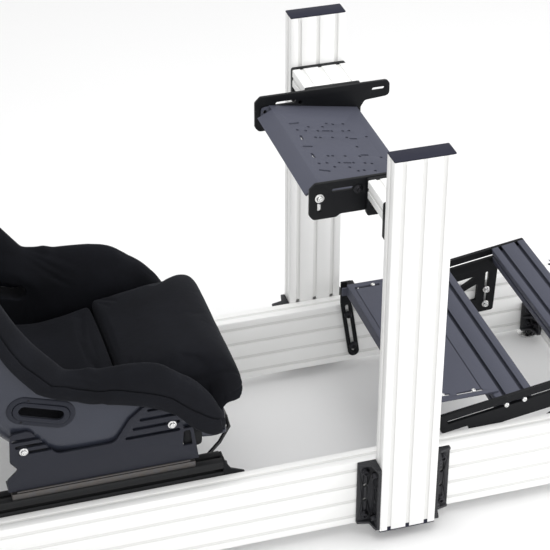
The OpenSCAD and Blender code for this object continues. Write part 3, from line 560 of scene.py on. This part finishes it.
print("mesh helpers ready")

# %% [markdown]
# ## From foam to cushion
# A cut block of foam becomes a cushion when its cover is pulled over it: the cloth spans
# the edges, swells between the seams and stays flat where it rests on something. The steps
# are the same here. A closed body is computed a little too small, its surface is divided
# evenly, and a short cloth run with air pressure blows it up while the glued areas and the
# seams are held. The travel is capped, so that no pad can grow through its neighbours.

# %% Foam and cover
INSET, CAP, PRESSURE, CLOTH_FRAMES = 1.0, 4.0, 4.0, 20
FIT = 0.9  # gap between a pad and the shell's inside


def upholster(name, body, held, voxel, cutters=()):
    """Blow a foam body up under its cover; held(u, y, h) tells which points stay glued."""
    ob = outward(make(name, *body, "seat", "seat_fabric", seat_cloth))
    for k, cutter in enumerate(cutters):
        tool = outward(make(f"{name}_cutter_{k}", *cutter, None, None))
        cut = ob.modifiers.new("cut", "BOOLEAN")
        cut.operation, cut.object, cut.solver = "DIFFERENCE", tool, "EXACT"
        bake(ob)
        bpy.data.objects.remove(tool)
    even = ob.modifiers.new("even", "REMESH")
    even.mode, even.voxel_size = "VOXEL", voxel / 1000.0
    bake(ob)
    start = get_points(ob.data) - INSET * get_normals(ob.data)
    set_points(ob.data, start)
    u, h = seat_coords(start)
    glued = held(u, start[:, 1], h)
    pinned = ob.vertex_groups.new(name="held")
    pinned.add(np.nonzero(glued)[0].tolist(), 1.0, "REPLACE")
    cloth = ob.modifiers.new("cloth", "CLOTH")
    s = cloth.settings
    s.quality, s.mass, s.bending_stiffness = 5, 0.25, 0.4
    s.tension_stiffness = s.compression_stiffness = 12
    s.shear_stiffness = 4
    s.use_pressure, s.uniform_pressure_force = True, PRESSURE
    s.effector_weights.gravity = 0
    s.vertex_group_mass = "held"
    cloth.point_cache.frame_start, cloth.point_cache.frame_end = 1, CLOTH_FRAMES
    scene = bpy.context.scene
    for frame_number in range(1, CLOTH_FRAMES + 1):
        scene.frame_set(frame_number)
    graph = bpy.context.evaluated_depsgraph_get()
    moved = get_points(ob.evaluated_get(graph).data) - start
    ob.modifiers.clear()
    scene.frame_set(1)
    far = np.linalg.norm(moved, axis=1, keepdims=True)
    set_points(ob.data, start + moved * np.minimum(1, CAP / np.maximum(far, 1e-9)))
    print(name, "points", len(start), "held", int(glued.sum()),
          "moved mm mean", round(float(far.mean()), 1), "most", round(float(far.max()), 1))
    sub = ob.modifiers.new("round", "SUBSURF")
    sub.levels = sub.render_levels = 1
    bake(ob)
    ob.data.materials.clear()
    ob.data.materials.append(seat_cloth)
    ob.data.polygons.foreach_set("use_smooth", np.full(len(ob.data.polygons), True))
    return ob


def groove(ob, amount):
    """Press lines into a pad: amount(u, y, h) gives the depth in millimetres at each point."""
    p = get_points(ob.data)
    u, h = seat_coords(p)
    set_points(ob.data, p - amount(u, p[:, 1], h)[:, None] * get_normals(ob.data))
    return ob


def line_press(distance, width):
    """1 on a line and 0 away from it, as a bell curve of the distance."""
    return np.exp(-(distance / width) ** 2)


def prism(outline, place, low, high):
    """A straight body with a convex outline, set in space by place(outline, level)."""
    return tube(np.stack([place(outline, low), place(outline, high)]))


def squarish(t):
    """A square with well rounded corners at the angles t: the 0.4th power of cos and sin."""
    return np.stack([np.sign(f) * np.abs(f) ** 0.4 for f in (np.cos(t), np.sin(t))], -1)


print("upholstery ready")

# %% [markdown]
# ## Front cushion
# The front cushion is a block with a thick rounded nose that overhangs the shell. Its cover
# has a top panel and side panels, so a seam runs along both sides. Its body is computed as
# half width, top and underside along the seat line; the rings are denser at both ends, as
# the form turns fastest there.

# %% Front cushion
NOSE_U, SEAM_U, PAD_END, HALF = -19.0, 218.0, U_TOP - 30.0, 186.0
ROLL_FREE_U = 425  # up to here the pads are as wide as the gap between the side rolls
ring_v = np.sin(np.radians(np.linspace(-90, 90, 90)))
puffed = np.maximum(0, 1 - np.abs(ring_v) ** 12) ** 0.3


def pad_body(u, half, top, under):
    """Rings of a pad: over the top from right to left and back underneath."""
    u = u[:, None]
    y = ring_v * half(u)
    low = under(u, y)
    high = low + 1 + np.maximum(0, top(u, ring_v) - low - 1) * puffed
    over, below = seat_point(u, y, high), seat_point(u, y, low)
    return tube(np.concatenate([over, below[:, ::-1]], axis=1))


def eased(a, b, n):
    """Places from a to b, close together at both ends."""
    return a + (b - a) * (1 - np.cos(np.linspace(0, np.pi, n))) / 2


def cushion_half(u):
    """Half width of the front cushion: 9 wider at the nose, with rounded front corners."""
    return HALF + 9 * (1 - smoothstep(u, 15, 60)) - 24 * (1 - quarter(u - NOSE_U, 34))


def cushion_top(u, v):
    """Top of the front cushion at v from -1 to 1 across: rounded nose, crown, crease."""
    return (62.5 + 28 * quarter(u - NOSE_U, 22) + 25 * quarter(u - NOSE_U, 80)
            - 8 * smoothstep(u, 90, SEAM_U) + 26 * quarter(u - NOSE_U, 200) * (1 - v ** 4)
            + 7 * v * v - 16 * (1 - quarter(SEAM_U - 2 - u, 11)))


def cushion_under(u, y):
    """Underside: free and rounded at the nose, then down on the shell."""
    k = np.clip((u - 20) / 40, 0, 1)
    return (1 - k) * (61.5 - 30 * quarter(u - NOSE_U, 20)) + k * (floor_h(u, y) + FIT)


front_cushion = upholster(
    "front_cushion",
    pad_body(eased(NOSE_U, SEAM_U - 2, 120), cushion_half, cushion_top, cushion_under),
    lambda u, y, h: ((u > 40) & (h < cushion_under(u, y) + 8)) | (u > SEAM_U - 9), 4.5)
groove(front_cushion, lambda u, y, h: 2.2 * line_press(np.abs(y) - cushion_half(u) + 13, 2.6)
       * (h > cushion_under(u, y) + 12) + 1.6 * line_press(h - 58, 2.4) * (u < 14))
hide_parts("seat_cushion")


print("front cushion:", len(front_cushion.data.polygons), "faces")

# %% [markdown]
# ## Rear cushion and back
# Behind a deep crease the rear cushion follows the bend and goes up the back as one long
# pad. Its two openings for shoulder belts are cut before the cover is blown up, and their
# edges are held. Two sewn channels cross it, one above the hips and one near the top.

# %% Rear cushion


def pad_half(u):
    """Half width of the rear pad: even on the pan, then wider, with rounded top corners."""
    back = (np.minimum(shell_w(u) - 54, HALF + (u - ROLL_FREE_U) * 0.2)
            - 26 * (1 - quarter(PAD_END - u, 60)))
    return np.where(u < ROLL_FREE_U, HALF, back)


def pad_top(u, v):
    """Top of the rear pad: thick in the bend, thin and nearly flat up the back."""
    return (curve(u, [[228, 106], [310, 99], [445, 69], [600, 47], [800, 42], [PAD_END, 42]])
            + curve(u, [[228, 24], [445, 14], [600, 6], [PAD_END, 4]]) * (1 - v * v)
            - 16 * (1 - quarter(u - SEAM_U - 2, 11)) - 40 * (1 - quarter(PAD_END - u, 30)))


BELT_U, BELT_Y, BELT_HIGH, BELT_WIDE = 935.0, 95.0, 28, 50
belt_outline = squarish(np.radians(np.arange(0, 360, 10)))
belt_cutters = [prism(belt_outline, lambda o, h, s=s: seat_point(
    BELT_U + BELT_HIGH * o[:, 0], s * BELT_Y + BELT_WIDE * o[:, 1], h), -40.0, 120.0)
    for s in (-1, 1)]


def near_belt(u, y, reach):
    """True within reach of a shoulder belt opening."""
    return np.maximum(np.abs(u - BELT_U) - BELT_HIGH,
                      np.abs(np.abs(y) - BELT_Y) - BELT_WIDE) < reach


back_cushion = upholster(
    "back_cushion", pad_body(eased(SEAM_U + 2, PAD_END, 300), pad_half, pad_top,
                             lambda u, y: floor_h(u, y) + FIT),
    lambda u, y, h: (h < floor_h(u, y) + 9) | (u < 236) | near_belt(u, y, 7), 6.0, belt_cutters)
groove(back_cushion, lambda u, y, h: (h > floor_h(u, y) + 16) * (
    2.4 * line_press(np.abs(y) - pad_half(u) + 15, 3.0) * (u > 260)
    + 2.6 * sum(line_press(u - seam, 3.2) for seam in (1020, 640))))
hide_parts("back_pad")
print("rear cushion:", len(back_cushion.data.polygons), "faces")

# %% [markdown]
# ## Form of the side rolls
# Each side of the shell is capped by a long roll of foam that laps over the edge, drooping at
# its front end. Its section is a ring of seventeen corners: up inside the shell, over the
# edge and down beside the cushion. The corners follow the shell's own formulas, so the roll
# fits it everywhere, and cutting them twice makes the ring round.

# %% Section of a roll
# thickness of the roll over the shell's edge in parts of ROLL_R, and height of its seam
ROLL_R, ROLL_FROM, ROLL_TO = 58, 38.0, 1069.0
ROLL = [[43, 0.8], [63, 1.75], [92, 2.15], [134, 1.92], [220, 1.42], [300, 1.14], [640, 1.18],
        [771, 0.98], [980, 0.9], [1062, 0.42]]
SEAM = [[43, 34], [60, 45], [110, 93], [143, 131], [201, 166], [266, 191], [400, 196], [542, 184],
        [644, 150], [702, 131], [762, 124], [900, 118], [980, 114], [1062, 78]]


def drawn_in(u):
    """1 along the roll, falling to 0 at its two ends."""
    return np.minimum(quarter(u - 35, 45), quarter(1072 - u, 60))


def roll_section(u):
    """Corners (n, 17, 2) of the roll's section: up inside the shell, over the edge, down."""
    w, e, r = shell_w(u), shell_e(u), ROLL_R * curve(u, ROLL)
    h0, o, i = 3 + e * 0.13, w + 5, w - 44
    in_y = np.where(u < ROLL_FREE_U, HALF + 2, i - 8 - 2 * np.maximum(0, (500 - u) / 75))
    up = [(wall_y(u, h) - FIT, h) for h in (h0 + (e - h0) * k / 5 for k in range(6))]
    over = [(o + 8, e + FIT), (o + 12, e + r * 0.28), (o + 9, e + r * 0.66), (w - 1, e + r * 0.96),
            (w - 14, e + r * 1.02), (w - 26, e + r * 0.86), (i + 8, e + r * 0.56),
            (np.maximum(i - 1, in_y + 2), e + r * 0.22), (in_y, e * 0.9), (in_y, e * 0.5),
            (in_y, h0)]
    mid = (w - 10)[:, None]
    s = np.stack([np.stack(np.broadcast_arrays(*p), -1) for p in up + over], 1)
    s[..., 0] = mid + (s[..., 0] - mid) * drawn_in(u)[:, None]
    inside = np.minimum(s[..., 0], wall_y(u[:, None], s[..., 1]) - FIT)
    s[..., 0] = np.where(s[..., 1] > e[:, None], s[..., 0], inside)
    return s


def round_off(ring):
    """Cut the corners of closed rings twice: each side keeps its middle half."""
    for _ in range(2):
        after = np.roll(ring, -1, axis=1)
        ring = np.stack([0.75 * ring + 0.25 * after, 0.25 * ring + 0.75 * after], 2)
        ring = ring.reshape(ring.shape[0], -1, 2)
    return ring


roll_u = eased(ROLL_FROM, ROLL_TO, 260)
section = round_off(roll_section(roll_u))
for _ in range(24):  # even out the bumps along the roll
    section[1:-1] = (section[:-2] + 2 * section[1:-1] + section[2:]) / 4
centre = section.mean(1, keepdims=True)
tips = (quarter(roll_u - (ROLL_FROM - 4), 14) * quarter(ROLL_TO + 4 - roll_u, 30))[:, None]
section[..., 1] = centre[..., 1] + (section[..., 1] - centre[..., 1]) * tips
print("roll section:", section.shape)

# %% [markdown]
# ## Covered rolls and the lap belt openings
# The lap belt passes through a moulded slot in the shell's side, so the foam is cut away
# there before it is covered, and the cloth is held around the cut. The cover has one seam
# along the outside. One roll is made and mirrored, as the seat is the same on both sides.

# %% Covered rolls
SLOT_AT, SLOT_TILT = np.array([-660.0, 386.0]), math.radians(-19)
SLOT_DIR = np.array([math.cos(SLOT_TILT), math.sin(SLOT_TILT)])
SLOT_UP = np.array([-SLOT_DIR[1], SLOT_DIR[0]])
SLOT_HALF, SLOT_R = 36, 14


def near_slot(x, z, reach):
    """True within reach of the lap belt slot, 28 mm wide and 100 mm long."""
    d = np.stack([x, z], -1) - SLOT_AT
    along = np.clip(d @ SLOT_DIR, -SLOT_HALF, SLOT_HALF)
    return np.linalg.norm(d - along[..., None] * SLOT_DIR, axis=-1) < SLOT_R + reach


half_turn = np.radians(np.linspace(-90, 90, 13))
cap_end = np.stack([SLOT_HALF + SLOT_R * np.cos(half_turn), SLOT_R * np.sin(half_turn)], -1)
stadium = np.concatenate([cap_end, -cap_end])
slot_cutter = prism(SLOT_AT + stadium[:, :1] * SLOT_DIR + stadium[:, 1:] * SLOT_UP,
                    lambda o, y: np.stack([o[:, 0], np.full(len(o), y), o[:, 1]], -1),
                    -320.0, -140.0)


def roll_held(u, y, h):
    """Glued: inside the shell, under the flap, around the belt slot and at the foot."""
    p = seat_point(u, y, h)
    side = np.abs(y)
    in_shell = (h < shell_e(u)) & (side > wall_y(u, np.maximum(h, 0)) - 9)
    under_flap = (side > shell_w(u)) & (h < curve(u, SEAM) + 1)
    return in_shell | under_flap | near_slot(p[:, 0], p[:, 2], 7) | (h < shell_e(u) * 0.4)


roll_right = upholster(
    "roll_right", tube(seat_point(roll_u[:, None], -section[..., 0], section[..., 1])),
    roll_held, 5.5, [slot_cutter])
groove(roll_right, lambda u, y, h: 3.0 * line_press(h - curve(u, SEAM), 2.8)
       * (np.abs(y) > shell_w(u) - 4))
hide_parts("bolster_right")


def mirrored(ob, name):
    """A copy on the other side of the middle plane, its faces turned to point outwards."""
    copy = bpy.data.objects.new(name, ob.data.copy())
    bpy.context.scene.collection.objects.link(copy)
    set_points(copy.data, get_points(copy.data) * (1, -1, 1))
    copy.data.flip_normals()
    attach(copy, "seat")
    return copy


roll_left = mirrored(roll_right, "roll_left")
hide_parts("bolster_left")
print("rolls:", len(roll_right.data.polygons), "faces each")

# %% [markdown]
# ## Flaps below the seam
# Below its seam the cover hangs as a straight flap over the shell. It is a strip of its own
# with a crisp hem, because the evenly divided foam has no point fine enough for it: a grid
# of 420 places along the roll and 9 steps from the seam down to the hem.

# %% Flaps
flap_u = np.linspace(52, 1050, 420)[:, None]
down = np.linspace(0, 1, 9)
flap_e, flap_r = shell_e(flap_u), ROLL_R * curve(flap_u, ROLL)
flap_h = flap_e + 0.6 + (curve(flap_u, SEAM) - flap_e - 0.6) * (1 - down)
bulge = curve((flap_h - flap_e) / flap_r, [[0, 8], [0.24, 11.5], [0.54, 8], [0.8, -7]])
flap_y = shell_w(flap_u) - 10 + (15 + bulge - 1.5 * (1 - down) ** 6) * drawn_in(flap_u)
flap_y = flap_y + 0.7 * np.sin(flap_u / 41.0) * down * smoothstep(flap_u, 150, 300)
for sign, side in ((-1, "right"), (1, "left")):
    flap = make(f"roll_flap_{side}", seat_point(flap_u, sign * flap_y, flap_h).reshape(-1, 3),
                grid_faces(*flap_h.shape), "seat", "seat_fabric", seat_cloth, flip=sign > 0)
    thick = flap.modifiers.new("thick", "SOLIDIFY")
    thick.thickness, thick.offset = 0.0022, -1.0
print("flap grid:", flap_h.shape)

# %% [markdown]
# ## Slot covers
# The slots of the white profiles look pale in the photograph: pressed-in cover strips keep
# dust out and hide the dark inside. Each strip is one extruded section with two soft lips,
# set a millimetre back from the face. On the uprights it ends short of the top cap, whose
# tongue reaches down into the slot; a short thin end piece lies over that tongue.

# %% Slot covers
COVER = np.array([(-4, -4.2), (-4, -1.7), (-3.2, -1.1), (-1, -1.5), (1, -1.5), (3.2, -1.1),
                  (4, -1.7), (4, -4.2)], float)


def gather(name, bodies, body, slot, material, smooth=True):
    """Join many closed bodies, given as (points, faces), into one piece."""
    points, faces, start = [], [], 0
    for p, f in bodies:
        points.append(p)
        faces += [[v + start for v in face] for face in f]
        start += len(p)
    return outward(make(name, np.concatenate(points), faces, body, slot, material, smooth))


def cover(a, b, out, lift=0.0):
    """A cover strip from a to b on a face that looks along out, lifted to lie over a tongue."""
    a, b, out = (np.asarray(k, float) for k in (a, b, out))
    side = np.cross((b - a) / np.linalg.norm(b - a), out)
    ring = COVER[:, :1] * side + (COVER[:, 1:] + lift) * out
    return tube(np.stack([a + ring, b + ring]))


# places of the profiles' faces and slots, in millimetres
RAIL_X, RAIL_Y, RAIL_MID, RAIL_TOP = (-992, 632), (255, 295), 275, 160
RAIL_SLOTS = (20, 60, 100, 140)
CROSS_SLOTS, CROSS_X, CROSS_Y, CROSS_TOP = (20, 60), (-980, 620), 254, 80
UP_SLOTS, UP_X, UP_Y, UP_MID = (20, 60, 100), (0, 120), (295, 335), 315
UP_LOW, UP_INNER_LOW, UP_HIGH, TONGUE, TONGUE_LIFT = 8, 166, 860, (859.5, 867.8), 1.22
ARM_Y, ARM_Z, ARM_MID = (200, 282), (717, 757), 737


def rail_covers(s):
    """Cover strips of the rail on one side, s = -1 for the right."""
    return [cover((RAIL_X[0], s * y, z), (RAIL_X[1], s * y, z), (0, d, 0))
            for z in RAIL_SLOTS for y, d in ((RAIL_Y[1], s), (RAIL_Y[0], -s))] + [
        cover((RAIL_X[0], s * RAIL_MID, RAIL_TOP), (RAIL_X[1], s * RAIL_MID, RAIL_TOP), (0, 0, 1))]


def upright_covers(s):
    """Cover strips of the upright and of its arm on one side."""
    strips = []
    for x in UP_SLOTS:
        for y, d, low in ((s * UP_Y[1], s, UP_LOW), (s * UP_Y[0], -s, UP_INNER_LOW)):
            strips += [cover((x, y, low), (x, y, UP_HIGH), (0, d, 0)),
                       cover((x, y, TONGUE[0]), (x, y, TONGUE[1]), (0, d, 0), TONGUE_LIFT)]
        strips += [cover((x, s * ARM_Y[0], z), (x, s * ARM_Y[1], z), (0, 0, d))
                   for z, d in ((ARM_Z[1], 1), (ARM_Z[0], -1))]
    y = s * UP_MID
    for x, d in zip(UP_X, (-1, 1)):
        strips += [cover((x, y, TONGUE[0]), (x, y, TONGUE[1]), (d, 0, 0), TONGUE_LIFT),
                   cover((x, y, UP_LOW), (x, y, UP_HIGH), (d, 0, 0)),
                   cover((x, s * ARM_Y[0], ARM_MID), (x, s * ARM_Y[1], ARM_MID), (d, 0, 0))]
    return strips


strips = [strip for s in (-1, 1) for strip in rail_covers(s) + upright_covers(s)]
for x in CROSS_X:
    faces = [(x, CROSS_TOP, (0, 0, 1))] + [(x + 20 * s, z, (s, 0, 0)) for s in (-1, 1)
                                          for z in CROSS_SLOTS]
    strips += [cover((at, -CROSS_Y, z), (at, CROSS_Y, z), out) for at, z, out in faces]
cover_plastic = powder("slot_cover_plastic", (0.78, 0.78, 0.765), 0.5, 900, 0.00004, 0.01)
gather("slot_covers", strips, "frame", "profile_white", cover_plastic, smooth=False)
print(len(strips), "slot covers")

# %% [markdown]
# ## Screws and washers
# Everything on the frame is held by socket screws: a knurled or domed head with a hexagonal
# recess, mostly on a washer. A head is a stack of rings around its axis. The rings of the
# recess are hexagons, so the key's six flats appear where the radius follows the polygon.

# %% Screw heads
TH = np.radians(np.arange(0, 360, 15))
SIXTH = math.radians(60)
HEXAGON = math.cos(SIXTH / 2) / np.cos((TH + SIXTH / 2) % SIXTH - SIXTH / 2)


def screw(at, out, r=6.5, h=6.0, washer=9.0, dome=0.0):
    """A socket head of radius r and height h on a washer, at a place, looking along out."""
    t = 1.6 if washer else 0.0
    rows = [(r, 0.0)]
    if washer:
        rows = [(washer, 0.0), (washer, t * 0.75), (washer - 0.4, t), (r + 0.3, t)]
    rows += [(r, t + 0.1), (r, t + h - 1.0 - dome), (r - 0.5, t + h - 0.3 - dome * 0.6),
             (r - 1.1, t + h - dome * 0.3), (r * 0.68, t + h)]
    key = [(r * 0.6, t + h), (r * 0.56, t + h - 0.4), (r * 0.56, t + h * 0.45),
           (r * 0.1, t + h * 0.4)]
    out = np.asarray(out, float) / np.linalg.norm(out)
    e1 = np.cross(out, (0.0, 0.0, 1.0) if abs(out[2]) < 0.9 else (1.0, 0.0, 0.0))
    e1 /= np.linalg.norm(e1)
    circle = np.cos(TH)[:, None] * e1 + np.sin(TH)[:, None] * np.cross(out, e1)
    rings = [np.asarray(at, float) + k * circle + z * out for k, z in rows]
    rings += [np.asarray(at, float) + k * HEXAGON[:, None] * circle + z * out for k, z in key]
    return tube(np.stack(rings))


print("screw head:", len(screw((0, 0, 0), (0, 0, 1))[1]), "faces")

# %% [markdown]
# ## Places of the screws
# The heads sit where the brackets, plates and arms have their holes. Every tuple is a place
# in millimetres; the two sides are the same, so y is multiplied by s. Bright zinc heads are
# the ones that shine in the photograph, the others are black.

# %% Screws
PEDAL_TILT = math.radians(8.6)


def on_pedals(s, t):
    """A point of the pedal deck, s up its slope and t square to it."""
    a = PEDAL_TILT
    return 170 + s * math.cos(a) - t * math.sin(a), 204.2 + s * math.sin(a) + t * math.cos(a)


bright, dark, seat_bright, seat_dark = [], [], [], []
for s in (-1, 1):
    out, into = (0, s, 0), (0, -s, 0)
    bright.append(screw((-92.2, s * 187, 726.8), out, 6.4, 5.5, 9.4, 1.5))
    dark.append(screw((-15, s * 187, 735), out, 6.0, 3.0, 9.0, 1.0))
    dark += [screw((x, s * 199, 699), out, 6.2, 5.0, 0) for x in (20, 60, 100)]
    dark += [screw((x, s * 283, 699), into, 6.2, 5.0, 9.0) for x in (20, 60, 100)]
    for b in (127.4, 167.4, 323.4, 363.4):
        x, z = on_pedals(b, -20)
        bright.append(screw((x, s * 255, z), out, 5.6, 4.5, 0, 1.2))
    bright += [screw((464, s * 247, z), into, 6.0, 6.0, 8.5) for z in (100, 140)]
    bright += [screw((171.5, s * 216, 226.6), (0, 0, 1), 5.0, 3.5, 0, 1.0),
               screw((238.9, s * 220, 226.6), (0, 0, 1), 5.0, 3.5, 0, 1.0)]
    dark += [screw((x, s * 250, z), into, 6.5, 6.0, 9.5) for x, z in ((126.2, 133), (140, 45))]
    for x0, d in ((120, 1), (0, -1)):
        for z in (25.75, 137.25):
            dark += [screw((x0 + d * 22.9, s * 301, z), out, 6.5, 7.0, 9.0),
                     screw((x0 + d * 6, s * 317.9, z), (d, 0, 0), 6.5, 7.0, 9.0)]
    for x0, d in ((-960, 1), (600, -1)):
        for z in (22.5, 57.5):
            dark += [screw((x0 + d * 22, s * 249, z), into, 6.0, 6.0, 8.5),
                     screw((x0 + d * 6, s * 233, z), (d, 0, 0), 6.0, 6.0, 8.5)]
    for x0, d in ((-308, 1), (-848, -1)):
        dark += [screw((x0 + d * 6, s * 235, 172), (d, 0, 0), 6.0, 5.0, 8.5),
                 screw((x0 + d * 26, s * 250, 139), into, 6.0, 5.0, 8.5)]
    for x, z in ((-700, 304), (-408, 305)):
        seat_bright.append(screw((x, s * 249, z), out, 6.0, 5.0, 8.8, 1.2))
    seat_dark += [screw((x, s * 231, 216), (0, 0, 1), 5.5, 4.0, 0, 1.0) for x in (-690, -400)]
gather("screws_bright", bright, "frame", "foot_metal", zinc)
gather("screws_dark", dark, "frame", "plate_black", black_oxide)
gather("seat_screws_bright", seat_bright, "seat", "slider_steel", zinc)
gather("seat_screws_dark", seat_dark, "seat", "slider_steel", black_oxide)
print("screws:", len(bright) + len(dark) + len(seat_bright) + len(seat_dark))

# %% [markdown]
# ## Spacers behind the side plates
# The side plates do not touch the shell: moulded blocks fill the gap where the screws go
# through, and dark blocks show through the openings of the plates. Each one is a squarish
# outline, given thickness as a stack of four rings whose first and last are a little
# smaller, so that its edges are broken.

# %% Spacers
SPACERS = ((-687, 300, 30, 13, -0.17), (-366, 262, 19, 24, 0.0))  # x, z, half sizes, turn
LEVELS = ((231.5, 1.6), (233, 0), (242.3, 0), (243.8, 1.2))  # distance out, how much smaller
around = np.linspace(0, 2 * np.pi, 49)[:-1]


def spacer(s, x, z, a, b, turn):
    """One block on the side s, its outline turned by an angle about the y axis."""
    rings = []
    for y, less in LEVELS:
        along, up = (squarish(around) * (a - less, b - less)).T
        rings.append(np.stack([x + along * np.cos(turn) - up * np.sin(turn),
                               np.full(len(around), s * y),
                               z + along * np.sin(turn) + up * np.cos(turn)], -1))
    return tube(np.stack(rings))


spacers = [spacer(s, *at) for s in (-1, 1) for at in SPACERS]
gather("seat_spacers", spacers, "seat", "slider_steel", black_coat)
print("spacers:", len(spacers))

# %% [markdown]
# ## Flanges of the lap belt openings
# The moulded rims in the shell's sides have a flat flange, wider than the opening, with two
# small screws. It lies on the curved side of the shell, so its distance from the middle is
# taken from the shell's own section, and its height over it from a rounded profile.

# %% Belt flanges
WALL = 5


def shell_out(x, z):
    """Distance of the shell's outside from the middle plane, its wall 5 mm thick."""
    u, h = seat_coords(np.stack([x, np.zeros_like(x), z], -1))
    level = np.clip((h + WALL) / (shell_e(u) + WALL), 0, 1)
    return (shell_w(u) + WALL) * (1 - (1 - level) ** 6) ** (1 / 6)


turn_a = np.radians(np.arange(0, 360, 6))
ends = np.where(np.cos(turn_a) >= 0, SLOT_HALF, -SLOT_HALF)
# the flange's profile from the rim outwards: radius, and height over the shell
radial = np.array([20.6, 20.6, 21.6, 24, 27, 29.6, 31.2, 32, 32])
raise_by = np.array([-3.0, 1.4, 2.4, 2.6, 2.6, 2.3, 1.4, 0.2, -3.0])
along = ends + radial[:, None] * np.cos(turn_a)
across = radial[:, None] * np.sin(turn_a)
flange_x = SLOT_AT[0] + along * SLOT_DIR[0] + across * SLOT_UP[0]
flange_z = SLOT_AT[1] + along * SLOT_DIR[1] + across * SLOT_UP[1]
flange_y = shell_out(flange_x, flange_z) + raise_by[:, None]
small = []
for sign, side in ((-1, "right"), (1, "left")):
    rings = np.stack([flange_x, sign * flange_y, flange_z], -1)
    make(f"belt_flange_{side}", rings.reshape(-1, 3), grid_faces(*flange_x.shape, True),
         "seat", "bezel_plastic", bezel_plastic, flip=sign > 0)
    for a, b in ((-32, 25.5), (-33, -25.5)):
        p = SLOT_AT + a * SLOT_DIR + b * SLOT_UP
        small.append(screw((p[0], sign * (float(shell_out(p[:1], p[1:])[0]) + 2.4), p[1]),
                           (0, sign, 0), 2.6, 1.0, 0, 0.3))
gather("bezel_screws", small, "seat", "slider_steel", black_oxide)
print("belt flanges ready")

# %% [markdown]
# ## Floor and light
# The picture is a studio shot on a white sweep: the floor is white all over and the light is
# so soft that shadows are only a breath of grey. A white world does most of this. One large
# lamp above, a second on the camera's side and a low third in front model the forms, and
# long pale reflections on the black coats come from them. The floor is a plane a little
# below pure white, so that the shadow under the rails can show.

# %% Floor and lamps


def floor_plane(size):
    """A square of the given half size in metres, at the height of the feet."""
    me = bpy.data.meshes.new("floor")
    me.from_pydata([(-size, -size, 0), (size, -size, 0), (size, size, 0), (-size, size, 0)], [],
                   [(0, 1, 2, 3)])
    ob = bpy.data.objects.new("floor", me)
    bpy.context.scene.collection.objects.link(ob)
    f = Finish("studio_floor")
    f.set(Base_Color=f.mix(f.noise(1.5, 2.0), (0.9, 0.9, 0.9), (0.92, 0.92, 0.92)),
          Roughness=(f.noise(30.0, 2.0) * 0.1 + 0.75))
    f.bump(f.noise(400.0, 2.0), 0.05, 0.0001)
    me.materials.append(f.material)


def lamp(name, place, aim, size, power):
    """A square area lamp at place (metres), turned so that it shines at aim."""
    data = bpy.data.lights.new(name, "AREA")
    data.shape, data.size, data.energy = "SQUARE", size, power
    ob = bpy.data.objects.new(name, data)
    bpy.context.scene.collection.objects.link(ob)
    ob.location = place
    ob.rotation_euler = (Vector(aim) - Vector(place)).to_track_quat("-Z", "Y").to_euler()


floor_plane(12.0)
lamp("overhead", (0.3, 0.2, 3.6), (0.0, 0.0, 0.3), 3.2, 56.0)
lamp("camera_side", (-1.6, -4.6, 2.2), (0.0, 0.0, 0.3), 3.6, 45.0)
lamp("front", (3.8, -1.4, 1.3), (0.4, 0.0, 0.2), 2.8, 70.0)
world = bpy.data.worlds.new("studio")
bpy.context.scene.world = world
world.use_nodes = True
sky = world.node_tree.nodes["Background"]
sky.inputs["Color"].default_value = (1.0, 1.0, 1.0, 1)
sky.inputs["Strength"].default_value = 0.76
bpy.context.scene.view_settings.view_transform = "Standard"
print("floor and lamps set")
